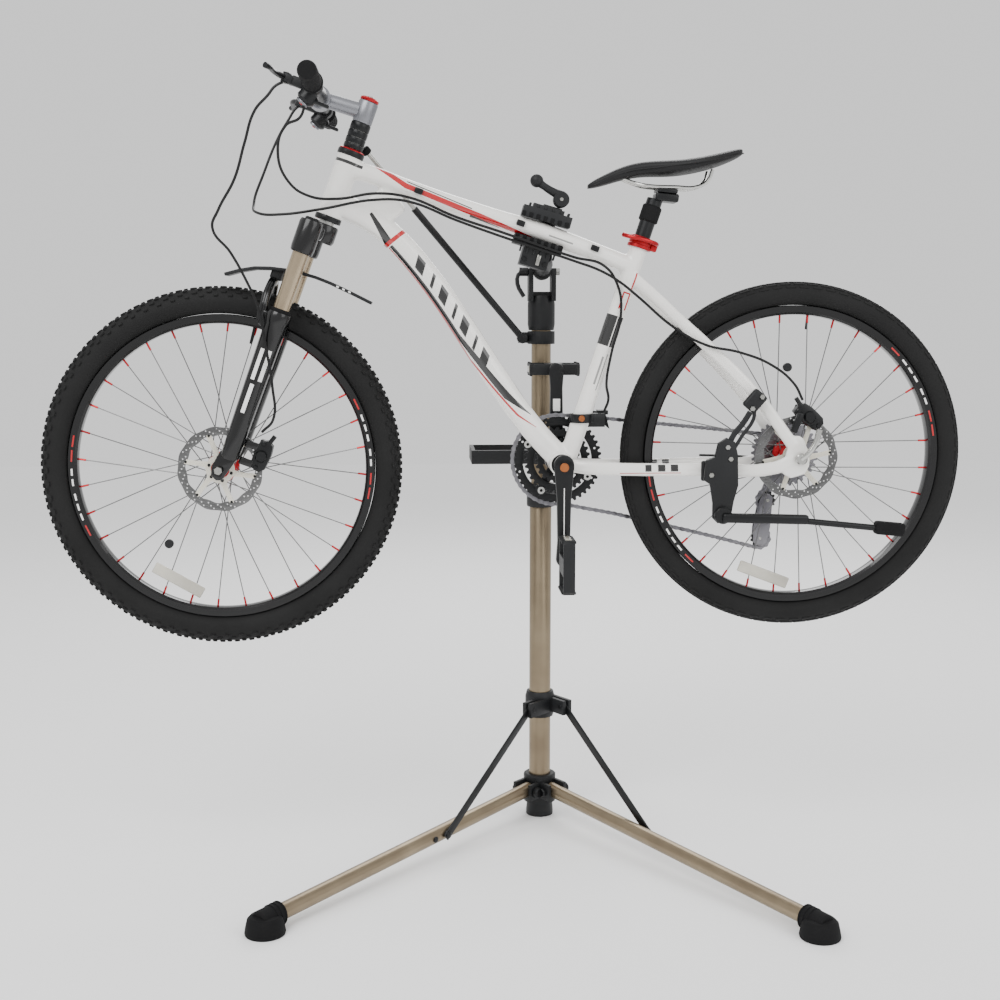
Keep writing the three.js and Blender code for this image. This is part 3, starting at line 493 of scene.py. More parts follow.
def tyre_piece(name, radius, half, knobs, knob_height, count):
    casing = radius - knob_height
    middle, reach = (284 + casing) / 2 + 1, (casing - 284) / 2 - 1
    outline = []
    for i in range(25):
        a = math.radians(-152 + 304 * i / 24)
        outline.append((middle + reach * math.cos(a), half * math.sin(a) * 0.97))
    body = turned(name, outline, 128, "Y", angle=60)
    blocks = []
    for across, wide, long, shift in knobs:
        a = math.asin(max(-0.95, min(0.95, across / (half * 0.97))))
        lift = middle + reach * math.cos(a)
        knob = block("knob", (0, 0, knob_height / 2 - 1.2), (long, wide, knob_height + 2.4), bevel=0.7,
                     segments=1)
        knob.data.transform(Matrix.Rotation(math.radians(shift), 4, "Y")
                            @ Matrix.Translation((0, across * MM, lift * MM))
                            @ Matrix.Rotation(-a * 0.85, 4, "X"))
        blocks.append(knob)
    tread = joined("tread", blocks)
    return joined(name, [body, copies(tread, around(count))])


def wheel(word, body, place, radius, half, hub_half, axle_half, disc_y, knobs, knob_height, count):
    fit(tyre_piece(f"{word}_tyre_tread", radius, half, knobs, knob_height, count), body, tyre_rubber,
        place, f"{word}_tyre")
    fit(turned(f"{word}_rim_box", [(287, 14.6), (288, 13.8), (287, 12.8), (281, 12.4), (279, 9), (277, 0),
                                   (279, -9), (281, -12.4), (287, -12.8), (288, -13.8), (287, -14.6),
                                   (275, -14), (271, -10), (270, -4), (270, 4), (271, 10), (275, 14)],
               128, "Y", angle=25), body, black_gloss, place, f"{word}_rim")
    spokes, nipples = [], []
    flange = hub_half - 8
    for i in range(32):
        side = 1 if i % 2 else -1
        lead = 1 if i % 4 < 2 else -1
        at_rim = 2 * math.pi * (i + 0.5) / 32
        at_hub = at_rim + lead * math.radians(62)
        start = Vector((23 * math.cos(at_hub), side * (flange + 1.6 * lead), -23 * math.sin(at_hub)))
        end = Vector((270 * math.cos(at_rim), side * 2, -270 * math.sin(at_rim)))
        spokes.append(bar("spoke", start, start.lerp(end, 0.965), 1.0, 8, bevel=0.2))
        nipples.append(bar("nipple", start.lerp(end, 0.945), end + (end - start) * 0.006, 2.0, 8,
                           bevel=0.3))
    fit(joined(f"{word}_spokes", spokes), body, spoke_steel, place, f"{word}_hub")
    fit(joined(f"{word}_nipples", nipples), body, red_metal, place)
    shell = turned(f"{word}_hub_shell", [(5, -hub_half), (15, -hub_half), (17, -hub_half + 2),
                                         (19, -flange - 4), (27, -flange - 2), (28, -flange),
                                         (27, -flange + 2), (18, -flange + 5), (15, -flange + 12),
                                         (14.4, 0), (15, flange - 12), (18, flange - 5), (27, flange - 2),
                                         (28, flange), (27, flange + 2), (19, flange + 4),
                                         (17, hub_half - 2), (15, hub_half), (5, hub_half)], 48, "Y")
    fit(shell, body, red_metal, place)
    fit(bar(f"{word}_axle", (0, -axle_half, 0), (0, axle_half, 0), 4.9, 20), body, steel, place)
    # The disc: a waved ring with rows of holes on six swept arms.
    edge = [(( 79.2 + 0.9 * math.cos(12 * a)) * math.cos(a), (79.2 + 0.9 * math.cos(12 * a)) * math.sin(a))
            for a in [2 * math.pi * i / 144 for i in range(144)]]
    inner = [((63.5 - 1.2 * math.cos(12 * a)) * math.cos(a), (63.5 - 1.2 * math.cos(12 * a)) * math.sin(a))
             for a in [2 * math.pi * i / 144 for i in range(144)]]
    holes = []
    for i in range(24):
        a = 2 * math.pi * i / 24
        for k, r in ((0, 67.6), (0.33, 71.6), (0.66, 75.6)):
            b = a + k * 2 * math.pi / 24
            holes.append(circle((r * math.cos(b), r * math.sin(b)), 1.5, 8))
    fit(plate(f"{word}_disc_ring", [edge, inner, *holes], disc_y - 0.9, disc_y + 0.9, 0.15), body,
        spoke_steel,
        place, f"{word}_rotor")
    arm = plate("arm", [[(20, -7), (34, -3), (50, 1), (64.5, 4), (66.5, 13), (60, 13), (46, 9), (32, 7),
                         (22, 8)]], disc_y - 1.1, disc_y + 1.1, 0.3)
    centre = turned("centre", [(17.5, disc_y - 1.4), (27, disc_y - 1.4), (27, disc_y + 1.4),
                               (17.5, disc_y + 1.4)], 48, "Y")
    fit(joined(f"{word}_disc_arms", [copies(arm, around(6)), centre]), body, cream, place)
    bolt = bar("bolt", (22, disc_y - 3.4, 0), (22, disc_y - 1, 0), 3, 10, bevel=0.4)
    rivet = bar("rivet", (64.5, disc_y - 1.6, 9), (64.5, disc_y + 1.6, 9), 2.6, 10, bevel=0.3)
    fit(joined(f"{word}_disc_bolts", [copies(bolt, around(6)), copies(rivet, around(6))]), body,
        black_satin, place)
    white_marks, red_marks = [], []
    for side in (-1, 1):
        mark = block("mark", (0, side * 14.35, 280.5), (13, 0.6, 3.4), bevel=0.15, segments=1)
        white_marks.append(copies(mark, [Matrix.Rotation(a, 4, "Y") for a in
                                         [math.pi * (i + 0.28) + k
                                          for i in range(2) for k in (0, 0.07, 0.14, 0.24, 0.31)]]))
        dash = block("dash", (0, side * 14.35, 280.5), (22, 0.6, 3.0), bevel=0.15, segments=1)
        red_marks.append(copies(dash, [Matrix.Rotation(math.pi * (i + 0.28) + k, 4, "Y")
                                       for i in range(2) for k in (-0.1, 0.42, 0.52)]))
    fit(joined(f"{word}_white_dashes", white_marks), body, white_print, place)
    fit(joined(f"{word}_red_dashes", red_marks), body, red_print, place)


wheel("front", "front_wheel", FRONT_WHEEL, 340, 26, 36, 70, -42,
      [(-4.2, 6, 9, 0), (4.6, 6, 9, 0.4), (-12, 5.5, 8, 2.4), (12, 5.5, 8, 2.4), (0, 6, 7, 2.5),
       (-18.5, 5, 9, 0.7), (18.5, 5, 9, 0.7), (-22.8, 4.5, 8, 2.9), (22.8, 4.5, 8, 2.9)], 3, 76)
wheel("rear", "rear_wheel", REAR_WHEEL, 333, 24, 34, 80, -48,
      [(-4, 7, 24, 0), (4.5, 7, 24, 1.8), (-12, 6, 20, 1), (12, 6, 20, 1), (-18.6, 5, 18, 2.6),
       (18.6, 5, 18, 2.6)], 1.1, 78)
# A valve, a reflector as ends in (x, z), and a magnet for each wheel.
for word, body, valve_from, valve_to, shield_ends, magnet in (
        ("front", "front_wheel", (-559, 1041), (-568, 1006), (-768, 590, -658, 526), (-729, 628)),
        ("rear", "rear_wheel", (495, 1068), (492, 1032), (358, 579, 476, 534), (455, 960))):
    fit(bar(f"{word}_valve", (valve_from[0], -214, valve_from[1]), (valve_to[0], -214, valve_to[1]),
            2.6, 12),
        body, black_satin)
    x0, z0, x1, z1 = shield_ends
    shield = block(f"{word}_reflector", Vector(((x0 + x1) / 2, -226, (z0 + z1) / 2)),
                   (math.hypot(x1 - x0, z1 - z0) * 0.82, 6, 22), math.atan2(z0 - z1, x1 - x0), 2.4, 3)
    fit(shield, body, clear_plastic)
    fit(bar(f"{word}_magnet", (magnet[0], -229, magnet[1]), (magnet[0], -219, magnet[1]), 8.5, 20,
            bevel=1.5),
        body, plastic)

# ---- Frame ----
# Welded aluminium tubes with smoothed joints under gloss white enamel, with red and black
# swooshes under the lacquer. One skin is grown round the tubes so that the welds run together.


def axis_point(along, x=0.0):
    """A point of the steering frame, mm, seen in the row frame."""
    moved = STEER @ Vector((x * MM, 0, along * MM))
    return (moved.x / MM, moved.z / MM)


def painted(name):
    """Gloss white with bands and swooshes set by distance along and across the tubes."""
    material = finish_of(name, "#F3F1ED", "#EDEBE6", 0.2, 0, 0.02, 0.8, coat=0.7, rough_spread=0.03)
    tree = material.node_tree
    shader = tree.nodes["Principled BSDF"]
    white = shader.inputs["Base Color"].links[0].from_socket
    place = node(tree, "TexCoord").outputs["Object"]

    def axis(start, end):
        """Distance along a line of (x, z) points, and height to its left, in mm."""
        run = Vector((end[0] - start[0], end[1] - start[1])).normalized() / MM
        away = node(tree, "VectorMath", {"operation": "SUBTRACT", 1: (start[0] * MM, 0, start[1] * MM)},
                    {0: place}).outputs[0]
        return [node(tree, "VectorMath", {"operation": "DOT_PRODUCT", 1: toward},
                     {0: away}).outputs["Value"]
                for toward in ((run.x, 0, run.y), (-run.y, 0, run.x))]

    def tapering(line, start, end, top_a, top_b, low_a, low_b):
        """A band whose upper and lower edges slope from one end to the other."""
        along, off = line
        mask = 1.0
        for first, last, test in ((top_a, top_b, "LESS_THAN"), (low_a, low_b, "GREATER_THAN")):
            edge = node(tree, "MapRange", {"clamp": False, 1: start, 2: end, 3: first, 4: last}, {0: along})
            side = node(tree, "Math", {"operation": test}, {0: off, 1: edge.outputs[0]})
            mask = node(tree, "Math", {"operation": "MULTIPLY"}, {0: mask, 1: side.outputs[0]}).outputs[0]
        for limit, test in ((start, "GREATER_THAN"), (end, "LESS_THAN")):
            side = node(tree, "Math", {"operation": test}, {0: along, 1: limit})
            mask = node(tree, "Math", {"operation": "MULTIPLY"}, {0: mask, 1: side.outputs[0]}).outputs[0]
        return mask

    paint = white

    def lay(mask, hex_code):
        nonlocal paint
        mixed = node(tree, "Mix", {"data_type": "RGBA", 7: colour(hex_code)}, {0: mask, 6: paint})
        paint = mixed.outputs[2]

    # The down tube bows, so heights on it are taken from its own middle line.
    along, off = axis((-330, 1222), (20, 780))
    phase = node(tree, "Math", {"operation": "MULTIPLY_ADD", 1: math.pi / 340, 2: -125 * math.pi / 340},
                 {0: along}).outputs[0]
    bow = node(tree, "Math", {"operation": "COSINE"}, {0: phase}).outputs[0]
    middle = node(tree, "Math", {"operation": "MULTIPLY_ADD", 1: 12, 2: 7.5}, {0: bow}).outputs[0]
    off = node(tree, "Math", {"operation": "SUBTRACT"}, {0: off, 1: middle}).outputs[0]
    down = (along, off)
    slant = node(tree, "Math", {"operation": "MULTIPLY_ADD", 1: 0.7}, {0: off, 2: along}).outputs[0]
    leaning = (slant, off)
    for start, wide, low_edge, top_edge in ((96, 22, -9, 12), (140, 8, -9, 12), (166, 22, -9, 12),
                                            (210, 8, -9, 13),
                                            (236, 22, -8, 13), (280, 8, -8, 13), (306, 22, -8, 13)):
        lay(tapering(leaning, start, start + wide, top_edge, top_edge, low_edge, low_edge), "#161616")
    lay(tapering(down, -26, 38, 2, -8, -4, -24), "#161616")
    lay(tapering(down, 44, 250, -13, -14, -19, -22), "#161616")
    lay(tapering(down, 250, 400, -14, 6, -22, -8), "#161616")
    lay(tapering(down, 400, 455, 6, 15, -8, 14), "#161616")
    lay(tapering(down, 44, 300, -20, -21, -22, -24), "#B40F17")
    lay(tapering(down, 300, 440, -21, -4, -24, -8), "#B40F17")
    lay(tapering(down, 440, 480, -4, 8, -8, 7), "#B40F17")
    lay(tapering(down, 34, 42, 40, 40, -40, -40), "#B40F17")
    top = axis((-378, 1334), (158, 1148))
    lay(tapering(top, 44, 110, 22, 5, 14, -5), "#B40F17")
    lay(tapering(top, 110, 260, 5, -2, -5, -12), "#B40F17")
    lay(tapering(top, 260, 420, -2, -14, -12, -16), "#B40F17")
    lay(tapering(top, 110, 240, 9, 2, 7, 0), "#161616")
    lay(tapering(top, 240, 300, -10, -14, -14, -15), "#161616")
    lay(tapering(top, 60, 86, 16, 16, 13, 13), "#9A9A98")
    lay(tapering(top, 392, 440, 4, 4, 1, 1), "#8A8A88")
    seat = axis((30, 777), (169, 1196))
    lay(tapering(seat, 236, 296, 30, 30, -2, -2), "#161616")
    lay(tapering(seat, 236, 296, -4, -4, -14, -14), "#161616")
    lay(tapering(seat, 310, 344, 3, 3, 0, 0), "#B40F17")
    lay(tapering(seat, 310, 344, -9, -9, -12, -12), "#B40F17")
    lay(tapering(seat, 341, 344, 3, 3, -12, -12), "#B40F17")
    lay(tapering(seat, 352, 384, -9, -9, -12, -12), "#B40F17")
    lay(tapering(seat, 150, 222, -6, -6, -8, -8), "#8A8A88")
    lay(tapering(seat, 160, 215, 2, 2, -2, -2), "#8A8A88")
    stay = axis((28, 774), (456, 780))
    for start, end in ((148, 160), (172, 186), (196, 210)):
        lay(tapering(stay, start, end, 1, 1, -12, -12), "#161616")
    lay(tapering(stay, 100, 215, -14, -14, -15.5, -15.5), "#B40F17")
    head = axis(axis_point(0), axis_point(132))
    lay(tapering(head, 108, 114, 30, 30, -30, -30), "#1A1A1A")
    tree.links.new(paint, shader.inputs["Base Color"])
    return material


white_enamel = painted("gloss white enamel")


def tube_along(name, points, half_across, half_up, sides=24):
    """An oval tube through (x, y, z) points in the bicycle's own frame."""
    data = bpy.data.curves.new(name, "CURVE")
    data.dimensions = "3D"
    data.resolution_u = 8
    data.twist_mode = "Z_UP"
    shape = bpy.data.curves.new(name + "_section", "CURVE")
    shape.dimensions = "2D"
    ring = shape.splines.new("POLY")
    ring.points.add(sides - 1)
    ring.use_cyclic_u = True
    for i in range(sides):
        a = 2 * math.pi * i / sides
        ring.points[i].co = (half_across * math.cos(a) * MM, half_up * math.sin(a) * MM, 0, 1)
    section = bpy.data.objects.new(name + "_section", shape)
    bpy.context.collection.objects.link(section)
    data.bevel_mode = "OBJECT"
    data.bevel_object = section
    data.use_fill_caps = True
    spline = data.splines.new("BEZIER")
    spline.bezier_points.add(len(points) - 1)
    for i, point in enumerate(points):
        spline.bezier_points[i].co = Vector(point) * MM
        spline.bezier_points[i].handle_left_type = "AUTO"
        spline.bezier_points[i].handle_right_type = "AUTO"
    piece = bpy.data.objects.new(name, data)
    bpy.context.collection.objects.link(piece)
    select_only(piece)
    bpy.ops.object.convert(target="MESH")
    piece = bpy.context.object
    bpy.data.objects.remove(section)
    close_up(piece, 40)
    return piece


def seat_x(z):
    return 30 + 0.332 * (z - 777)


def rise_z(points):
    return [(x, 0, z) for x, z in points]


low, high = axis_point(0), axis_point(132)
tubes = [
    bar("head_tube", (low[0], 0, low[1]), (high[0], 0, high[1]), 23.5, 48),
    tube_along("top_tube", rise_z([(-374, 1329), (-330, 1316), (-280, 1297), (-109, 1241), (-20, 1216),
                                   (34, 1196), (158, 1149)]), 18, 17),
    tube_along("down_tube", rise_z([(-394, 1262), (-340, 1236), (-295, 1201), (-232, 1129), (-189, 1069),
                                    (-112, 951), (-43, 853), (20, 782)]), 20.5, 23.5),
    block("gusset", (-316, 0, 1260), (62, 24, 62), 0.9, 8, 3),
    bar("seat_tube", (seat_x(790), 0, 790), (seat_x(1196), 0, 1196), 17.6, 40),
    bar("bracket_shell", (18, -34, 777), (18, 34, 777), 22.8, 40, bevel=1.5)]
for side in (-1, 1):
    tubes.append(tube_along("seat_stay", [(152, side * 10, 1132), (200, side * 26, 1088),
                                          (240, side * 37, 1049), (300, side * 48, 994),
                                          (390, side * 62, 901), (456, side * 71, 812)], 7.5, 12))
    tubes.append(tube_along("chain_stay", [(28, side * 20, 774), (70, side * 32, 770),
                                           (130, side * 38, 768), (300, side * 56, 768),
                                           (420, side * 69, 772), (456, side * 72, 788)], 7, 13))
    tubes.append(plate("dropout", [[(436, 760), (450, 752), (478, 760), (486, 776), (486, 796),
                                    (474, 828), (464, 834), (452, 832), (440, 800)],
                                   circle((467, 790), 5.6, 20)], side * 72 - 3.6, side * 72 + 3.6, 0.8))
skin = joined("frame_skin", tubes)
apply_modifier(skin, "REMESH", mode="VOXEL", voxel_size=0.0024)
apply_modifier(skin, "SMOOTH", factor=0.5, iterations=9)
select_only(skin)
bpy.ops.object.shade_smooth()
for tool_name, start, end, radius in (
        ("head_bore", (low[0] - 5 * math.sin(LEAN), 0, low[1] - 5 * math.cos(LEAN)),
         (high[0] + 5 * math.sin(LEAN), 0, high[1] + 5 * math.cos(LEAN)), 17.4),
        ("bracket_bore", (18, -42, 777), (18, 42, 777), 13.5),
        ("post_bore", (seat_x(985), 0, 985), (seat_x(1212), 0, 1212), 15.8)):
    cutter = bar(tool_name, start, end, radius, 40)
    apply_modifier(skin, "BOOLEAN", object=cutter, operation="DIFFERENCE", solver="EXACT")
    bpy.data.objects.remove(cutter)
select_only(skin)
bpy.ops.object.shade_smooth_by_angle(angle=math.radians(42))
fit(skin, "bicycle", white_enamel, BIKE, "frame")
for along in (2, 128):
    x, z = axis_point(along)
    cup = turned("head_cup", [(18, -5), (24.6, -5), (25.2, -3), (25.2, 3), (24.6, 5), (18, 5)], 48)
    fit(cup, "bicycle", black_satin, Matrix.Translation((x * MM, -0.214, z * MM))
        @ Matrix.Rotation(LEAN, 4, "Y"))
guides = []
for x, z in ((-250, 1290), (-60, 1232), (80, 1186)):
    guides.append(block("guide", (x, -20.5, z - 2), (16, 8, 11), 0.34, 1.6, 2))
fit(joined("cable_guides", guides), "bicycle", black_satin, BIKE)
for side in (-1, 1):
    fit(bar(f"bracket_cup_{side}", (18, side * 34, 777), (18, side * 41, 777), 20, 40, bevel=1.2),
        "bicycle",
        black_satin, BIKE)

# ---- Seat clamp, post and saddle ----
# A red collar with a quick lever, a black post with a rubber sleeve, and a foam saddle
# under stitched black cover on two bent steel rails.
post = [bar("post", (seat_x(1000), 0, 1000), (seat_x(1276), 0, 1276), 15, 40),
        block("post_head", (216, 0, 1279), (44, 44, 16), 0.1, 4, 3),
        block("post_cradle", (216, 0, 1291), (38, 50, 8), 0.1, 2, 2)]
fit(joined("seat_post_tube", post), "saddle_post", black_satin, BIKE, "seat_post")
sleeve = bar("post_sleeve", (seat_x(1234), 0, 1234), (seat_x(1264), 0, 1264), 18.5, 40, bevel=2.5)
fit(sleeve, "saddle_post", soft_rubber, BIKE)
for side in (-1, 1):
    fit(bar(f"post_bolt_{side}", (216 + side * 15, 0, 1272), (216 + side * 15, 0, 1300), 3, 12),
        "saddle_post",
        steel, BIKE)
clamp_axis = Matrix.Translation((seat_x(1195) * MM, -0.214,
                                 1.195)) @ Matrix.Rotation(math.atan(0.332), 4, "Y")
fit(joined("seat_clamp_ring", [
    turned("ring", [(18.5, -11), (22, -11), (23, -10), (23, -5), (22, -4), (22, 4), (23, 5), (23, 10),
                    (22, 11), (18.5, 11)], 48),
    block("ears", (26, 0, 0), (14, 19, 17), 0, 3, 3)]), "bicycle", red_metal, clamp_axis,
    "seat_clamp")
fit(drawn("seat_clamp_loop", [(seat_x(1194) + 30, -12, 1191), (seat_x(1194) + 26, -20, 1193),
                              (seat_x(1194) + 6, -30, 1199), (seat_x(1194) - 24, -27, 1206),
                              (seat_x(1194) - 34, -14, 1210)], [4.2, 4.2, 4, 4, 4.6], 16), "post_lever",
    red_metal, BIKE, "seat_clamp_lever")
# Embossed synthetic leather: black, half matt, with a fine grain.
cover = finish_of("black saddle cover", "#131315", "#0C0C0D", 0.55, 0, 0.5, 0.7, specular=0.3)
SADDLE_RIBS = ((68, 1303, 9, 8, 0), (78, 1311, 16, 15, 0), (100, 1322, 20, 21, 0), (134, 1338, 23, 26, 0),
               (172, 1346, 29, 28, 0), (205, 1347, 41, 29, 1), (240, 1348, 56, 28, 1.5),
               (278, 1353, 69, 26, 2), (315, 1361, 72, 24, 2), (340, 1367, 66, 20, 1), (355, 1368, 50, 13, 0))
ring_points, ring_faces = [], []
AROUND = 28
for x, z, half, depth, groove in SADDLE_RIBS:
    for k in range(AROUND):
        a = 2 * math.pi * k / AROUND
        c, s = math.cos(a), math.sin(a)
        y = half * math.copysign(abs(c) ** 0.8, c)
        if s >= 0:
            rise = depth * 0.42 * abs(s) ** 0.8 - groove * math.exp(-(y / 9) ** 2)
        else:
            rise = -depth * 0.58 * min(1, abs(s) ** 0.45)
        ring_points.append((x, y, z - depth * 0.42 + rise))
for i in range(len(SADDLE_RIBS) - 1):
    for k in range(AROUND):
        a, b = i * AROUND + k, i * AROUND + (k + 1) % AROUND
        ring_faces.append((a, b, b + AROUND, a + AROUND))
ring_faces.append(tuple(range(AROUND)))
ring_faces.append(tuple(range((len(SADDLE_RIBS) - 1) * AROUND, len(SADDLE_RIBS) * AROUND)))
saddle = mesh_piece("saddle_shell", ring_points, (), ring_faces)
apply_modifier(saddle, "SUBSURF", levels=2, render_levels=2)
close_up(saddle, 60)
fit(saddle, "saddle_post", cover, BIKE, "saddle")
piping = drawn("saddle_piping", [(78, -15.5, 1301), (134, -23.5, 1324), (205, -41.5, 1333),
                                 (278, -69.5, 1341),
                                 (330, -69.5, 1351), (356, -30, 1359), (357.5, 0, 1360), (356, 30, 1359),
                                 (330, 69.5, 1351), (278, 69.5, 1341), (205, 41.5, 1333),
                                 (134, 23.5, 1324), (78, 15.5, 1301)], 1.3, 8)
fit(piping, "saddle_post", cover, BIKE)
# Chrome-plated steel: the brightest metal on the bicycle.
chrome = finish_of("bright plated steel", "#D2D2CF", "#B9B9B5", 0.18, 1.0, 0.05, 0.4)
for side in (-1, 1):
    fit(drawn(f"rail_{side}", [(300, side * 24, 1330), (292, side * 22, 1310), (272, side * 22, 1298),
                               (230, side * 21, 1297.5), (176, side * 19, 1300), (152, side * 12, 1306),
                               (128, side * 9, 1316)], 3.5, 16), "saddle_post", chrome, BIKE,
        "saddle_rails" if side < 0 else ())

# ---- Fork ----
# Champagne stanchions pressed in a black forged crown, sliding in one-piece black lowers
# with an arch and dust seals round the tops.
# Polished and anodised aluminium: a pale gold sheen along the tube.
champagne = finish_of("champagne anodised", "#B5A58C", "#9C8C75", 0.2, 0.85, 0.05, 0.5, (1, 1, 0.1))
crown = [block("crown_bar", (-14, 0, -30), (40, 118, 26), 0, 8, 4),
         turned("crown_seat", [(0, -44), (22, -44), (25, -38), (25, -12), (23, -9), (0, -9)], 48,
                closed=False)]
for side in (-1, 1):
    crown.append(turned("crown_end", [(0, -76), (19, -76), (21, -74), (22, -66), (22, -20), (20, -14),
                                      (0, -14)], 40, closed=False, at=(-20.6, side * 66, 0)))
fit(joined("fork_crown", crown), "front_end", black_gloss, STEER, "fork_upper")
for side in (-1, 1):
    fit(turned(f"stanchion_{side}", [(0, -240), (15.5, -240), (15.5, -74), (0, -74)], 48, closed=False,
               at=(-20.6, side * 66, 0)), "front_end", champagne, STEER)
    cap = turned(f"crown_cap_{side}", [(0, -15), (14, -15), (14, -11), (12, -8.5), (8, -8), (0, -8)], 32,
                 closed=False, at=(-20.6, side * 66, 0))
    fit(cap, "front_end", red_metal if side > 0 else black_satin, STEER)
fit(bar("steerer", (0, 0, -20), (0, 0, 187), 14, 32), "front_end", steel, STEER)
lowers = []
for side in (-1, 1):
    lowers.append(turned("lower", [(0, -478), (14, -478), (17, -472), (18, -430), (19.5, -330), (20.6, -240),
                                   (21.5, -215), (23, -211), (23.2, -196), (21.5, -191), (16, -191),
                                   (16, -230), (0, -230)], 48, closed=False, at=(-20.6, side * 66, 0)))
    lowers.append(plate("fork_tip", [[(-40, -468), (-6, -468), (-10, -486), (-20, -520), (-30, -524),
                                      (-42, -518), (-46, -500)], circle((-31.4, -504.5), 5.6, 18)],
                        side * 61 - 6, side * 61 + 6, 1.6))
for x in (-48, -52):
    lowers.append(tube_along("arch", [(x, -62, -216), (x - 4, -60, -184), (x - 6, -38, -152),
                                      (x - 6, 0, -139),
                                      (x - 6, 38, -152), (x - 4, 60, -184), (x, 62, -216)], 6, 8))
for side in (-1, 1):
    lowers.append(block("arch_foot", (-40, side * 62, -210), (24, 16, 30), 0, 4, 3))
fit(joined("fork_lower_casting", lowers), "fork_slider", black_gloss, STEER, "fork_lowers")
for side in (-1, 1):
    fit(turned(f"dust_seal_{side}", [(15.7, -195), (19, -195), (19, -188), (17.4, -184), (15.7, -184)], 40,
               at=(-20.6, side * 66, 0)), "fork_slider", soft_rubber, STEER)
    bars = []
    for z0, z1, a0 in ((-262, -322, 1.0), (-262, -322, 1.9), (-330, -386, 1.2)):
        stripe = block("stripe", (0, 0, (z0 + z1) / 2), (1.0, 7.5, abs(z1 - z0)), 0, 0.3, 1)
        stripe.data.transform(Matrix.Translation((-0.0206, side * 0.066, 0)) @ Matrix.Rotation(
            side * math.pi / 2 + (a0 - 1.4) * 0.8, 4, "Z") @ Matrix.Translation((0.0199, 0, 0)))
        bars.append(stripe)
    fit(joined(f"lower_marks_{side}", bars), "fork_slider", white_print, STEER)
fender = moulded("fender", "front_fender", 1.2, 2)
fit(fender, "fork_slider", plastic, HERE, "front_fender")
slots = [block("slot", (x, side * 29.6, z), (5, 1.6, 3), t, 0.3, 1)
         for x, z, t in ((60, -110.2, 0.04), (72, -110.9, 0.06), (84, -111.8, 0.08)) for side in (-1, 1)]
fit(joined("fender_slots", slots), "fork_slider", white_print, STEER)
fit(block("fender_bracket", (-54, 0, -127), (22, 44, 22), 0, 4, 3), "fork_slider", plastic,
    STEER)


def caliper(name, centre, turn, disc_y):
    """A two-piston brake caliper bolted together over its disc, with a hose joint on top."""
    x, z = centre
    parts = []
    for y0, y1 in ((disc_y - 16, disc_y - 3.5), (disc_y + 3.5, disc_y + 12)):
        half_shape = [(-13, -26), (6, -30), (14, -22), (16, -6), (17, 8), (15, 24), (4, 31), (-10, 27),
                      (-15, 10),
                      (-15, -12)]
        parts.append(plate("half", [half_shape], y0, y1, 2.6))
    parts.append(turned("piston_cap", [(0, disc_y - 21), (9, disc_y - 21), (11, disc_y - 19),
                                       (12, disc_y - 15),
                                       (0, disc_y - 15)], 32, "Y", closed=False))
    parts.append(block("bridge", (0, disc_y - 2, 25), (22, 24, 9), 0, 2.5, 3))
    for dz in (-24, 24):
        parts.append(bar("bolt", (-3, disc_y - 19, dz), (-3, disc_y - 14, dz), 4.6, 6, bevel=0.6))
    parts.append(bar("hose_joint", (6, disc_y - 12, 26), (12, disc_y - 12, 44), 4.2, 16))
    whole = joined(name, parts)
    whole.data.transform(Matrix.Translation((x * MM, 0, z * MM)) @ Matrix.Rotation(turn, 4, "Y"))
    return whole


fit(caliper("front_caliper_casting", (33, -454), 0.0, -42), "fork_slider", black_satin,
    STEER,
    "front_caliper")
fit(joined("front_caliper_mount", [block("post", (10, -55, -440), (26, 8, 14), 0, 2.5, 3),
                                   block("post", (10, -55, -474), (26, 8, 14), 0, 2.5, 3)]), "fork_slider",
    black_gloss, STEER)
for side in (-1, 1):
    fit(bar(f"front_axle_nut_{side}", (-31.4, side * 67, -504.5), (-31.4, side * 77, -504.5), 8, 6,
            bevel=0.8),
        "fork_slider", steel, STEER)

# ---- Stem, bar, grips, levers ----
# A forged stem between black spacers; a black butted bar with rubber grips, brake levers on
# clamps and round shifter pods under the bar.
fit(joined("headset_spacers", [
    turned("spacer", [(14.2, a), (18, a), (18.6, a + 1), (18.6, b - 1), (18, b), (14.2, b)], 48)
    for a, b in ((138, 147), (148, 159), (160, 172), (173, 187))]), "front_end", black_satin,
    STEER)
fit(turned("headset_cone", [(14.2, 133.8), (24, 133.8), (24, 135), (18, 137.4), (14.2, 137.4)], 48),
    "front_end",
    red_metal, STEER)
# Forged aluminium, bead blasted: an even soft grey.
grey_metal = finish_of("grey forged aluminium", "#8E8F94", "#737479", 0.38, 0.8, 0.12, 0.7)
fit(joined("stem_forging", [
    turned("stem_clamp", [(14.4, 188), (17.4, 188), (18.4, 190), (18.4, 226), (17.4, 228), (14.4, 228)],
           48),
    bar("stem_neck", (-12, 0, 208), (-70, 0, 204), 15, 40, 14),
    bar("stem_face", (-87, -24, 202), (-87, 24, 202), 21, 40, bevel=2),
    block("face_plate", (-103, 0, 201), (12, 46, 30), 0, 4, 3)]), "front_end", grey_metal, STEER,
    "stem")
fit(turned("top_cap", [(0, 229), (17, 229), (17.6, 230), (17.6, 234), (15, 236), (0, 236)], 48,
           closed=False), "front_end", red_metal, STEER)
fit(bar("top_cap_bolt", (0, 0, 236), (0, 0, 239), 5, 20), "front_end", steel, STEER)
for y in (-18, 18):
    for z in (190, 213):
        fit(bar(f"face_bolt_{y}_{z}", (-108, y, z), (-112, y, z), 3.4, 12), "front_end", steel,
            STEER)
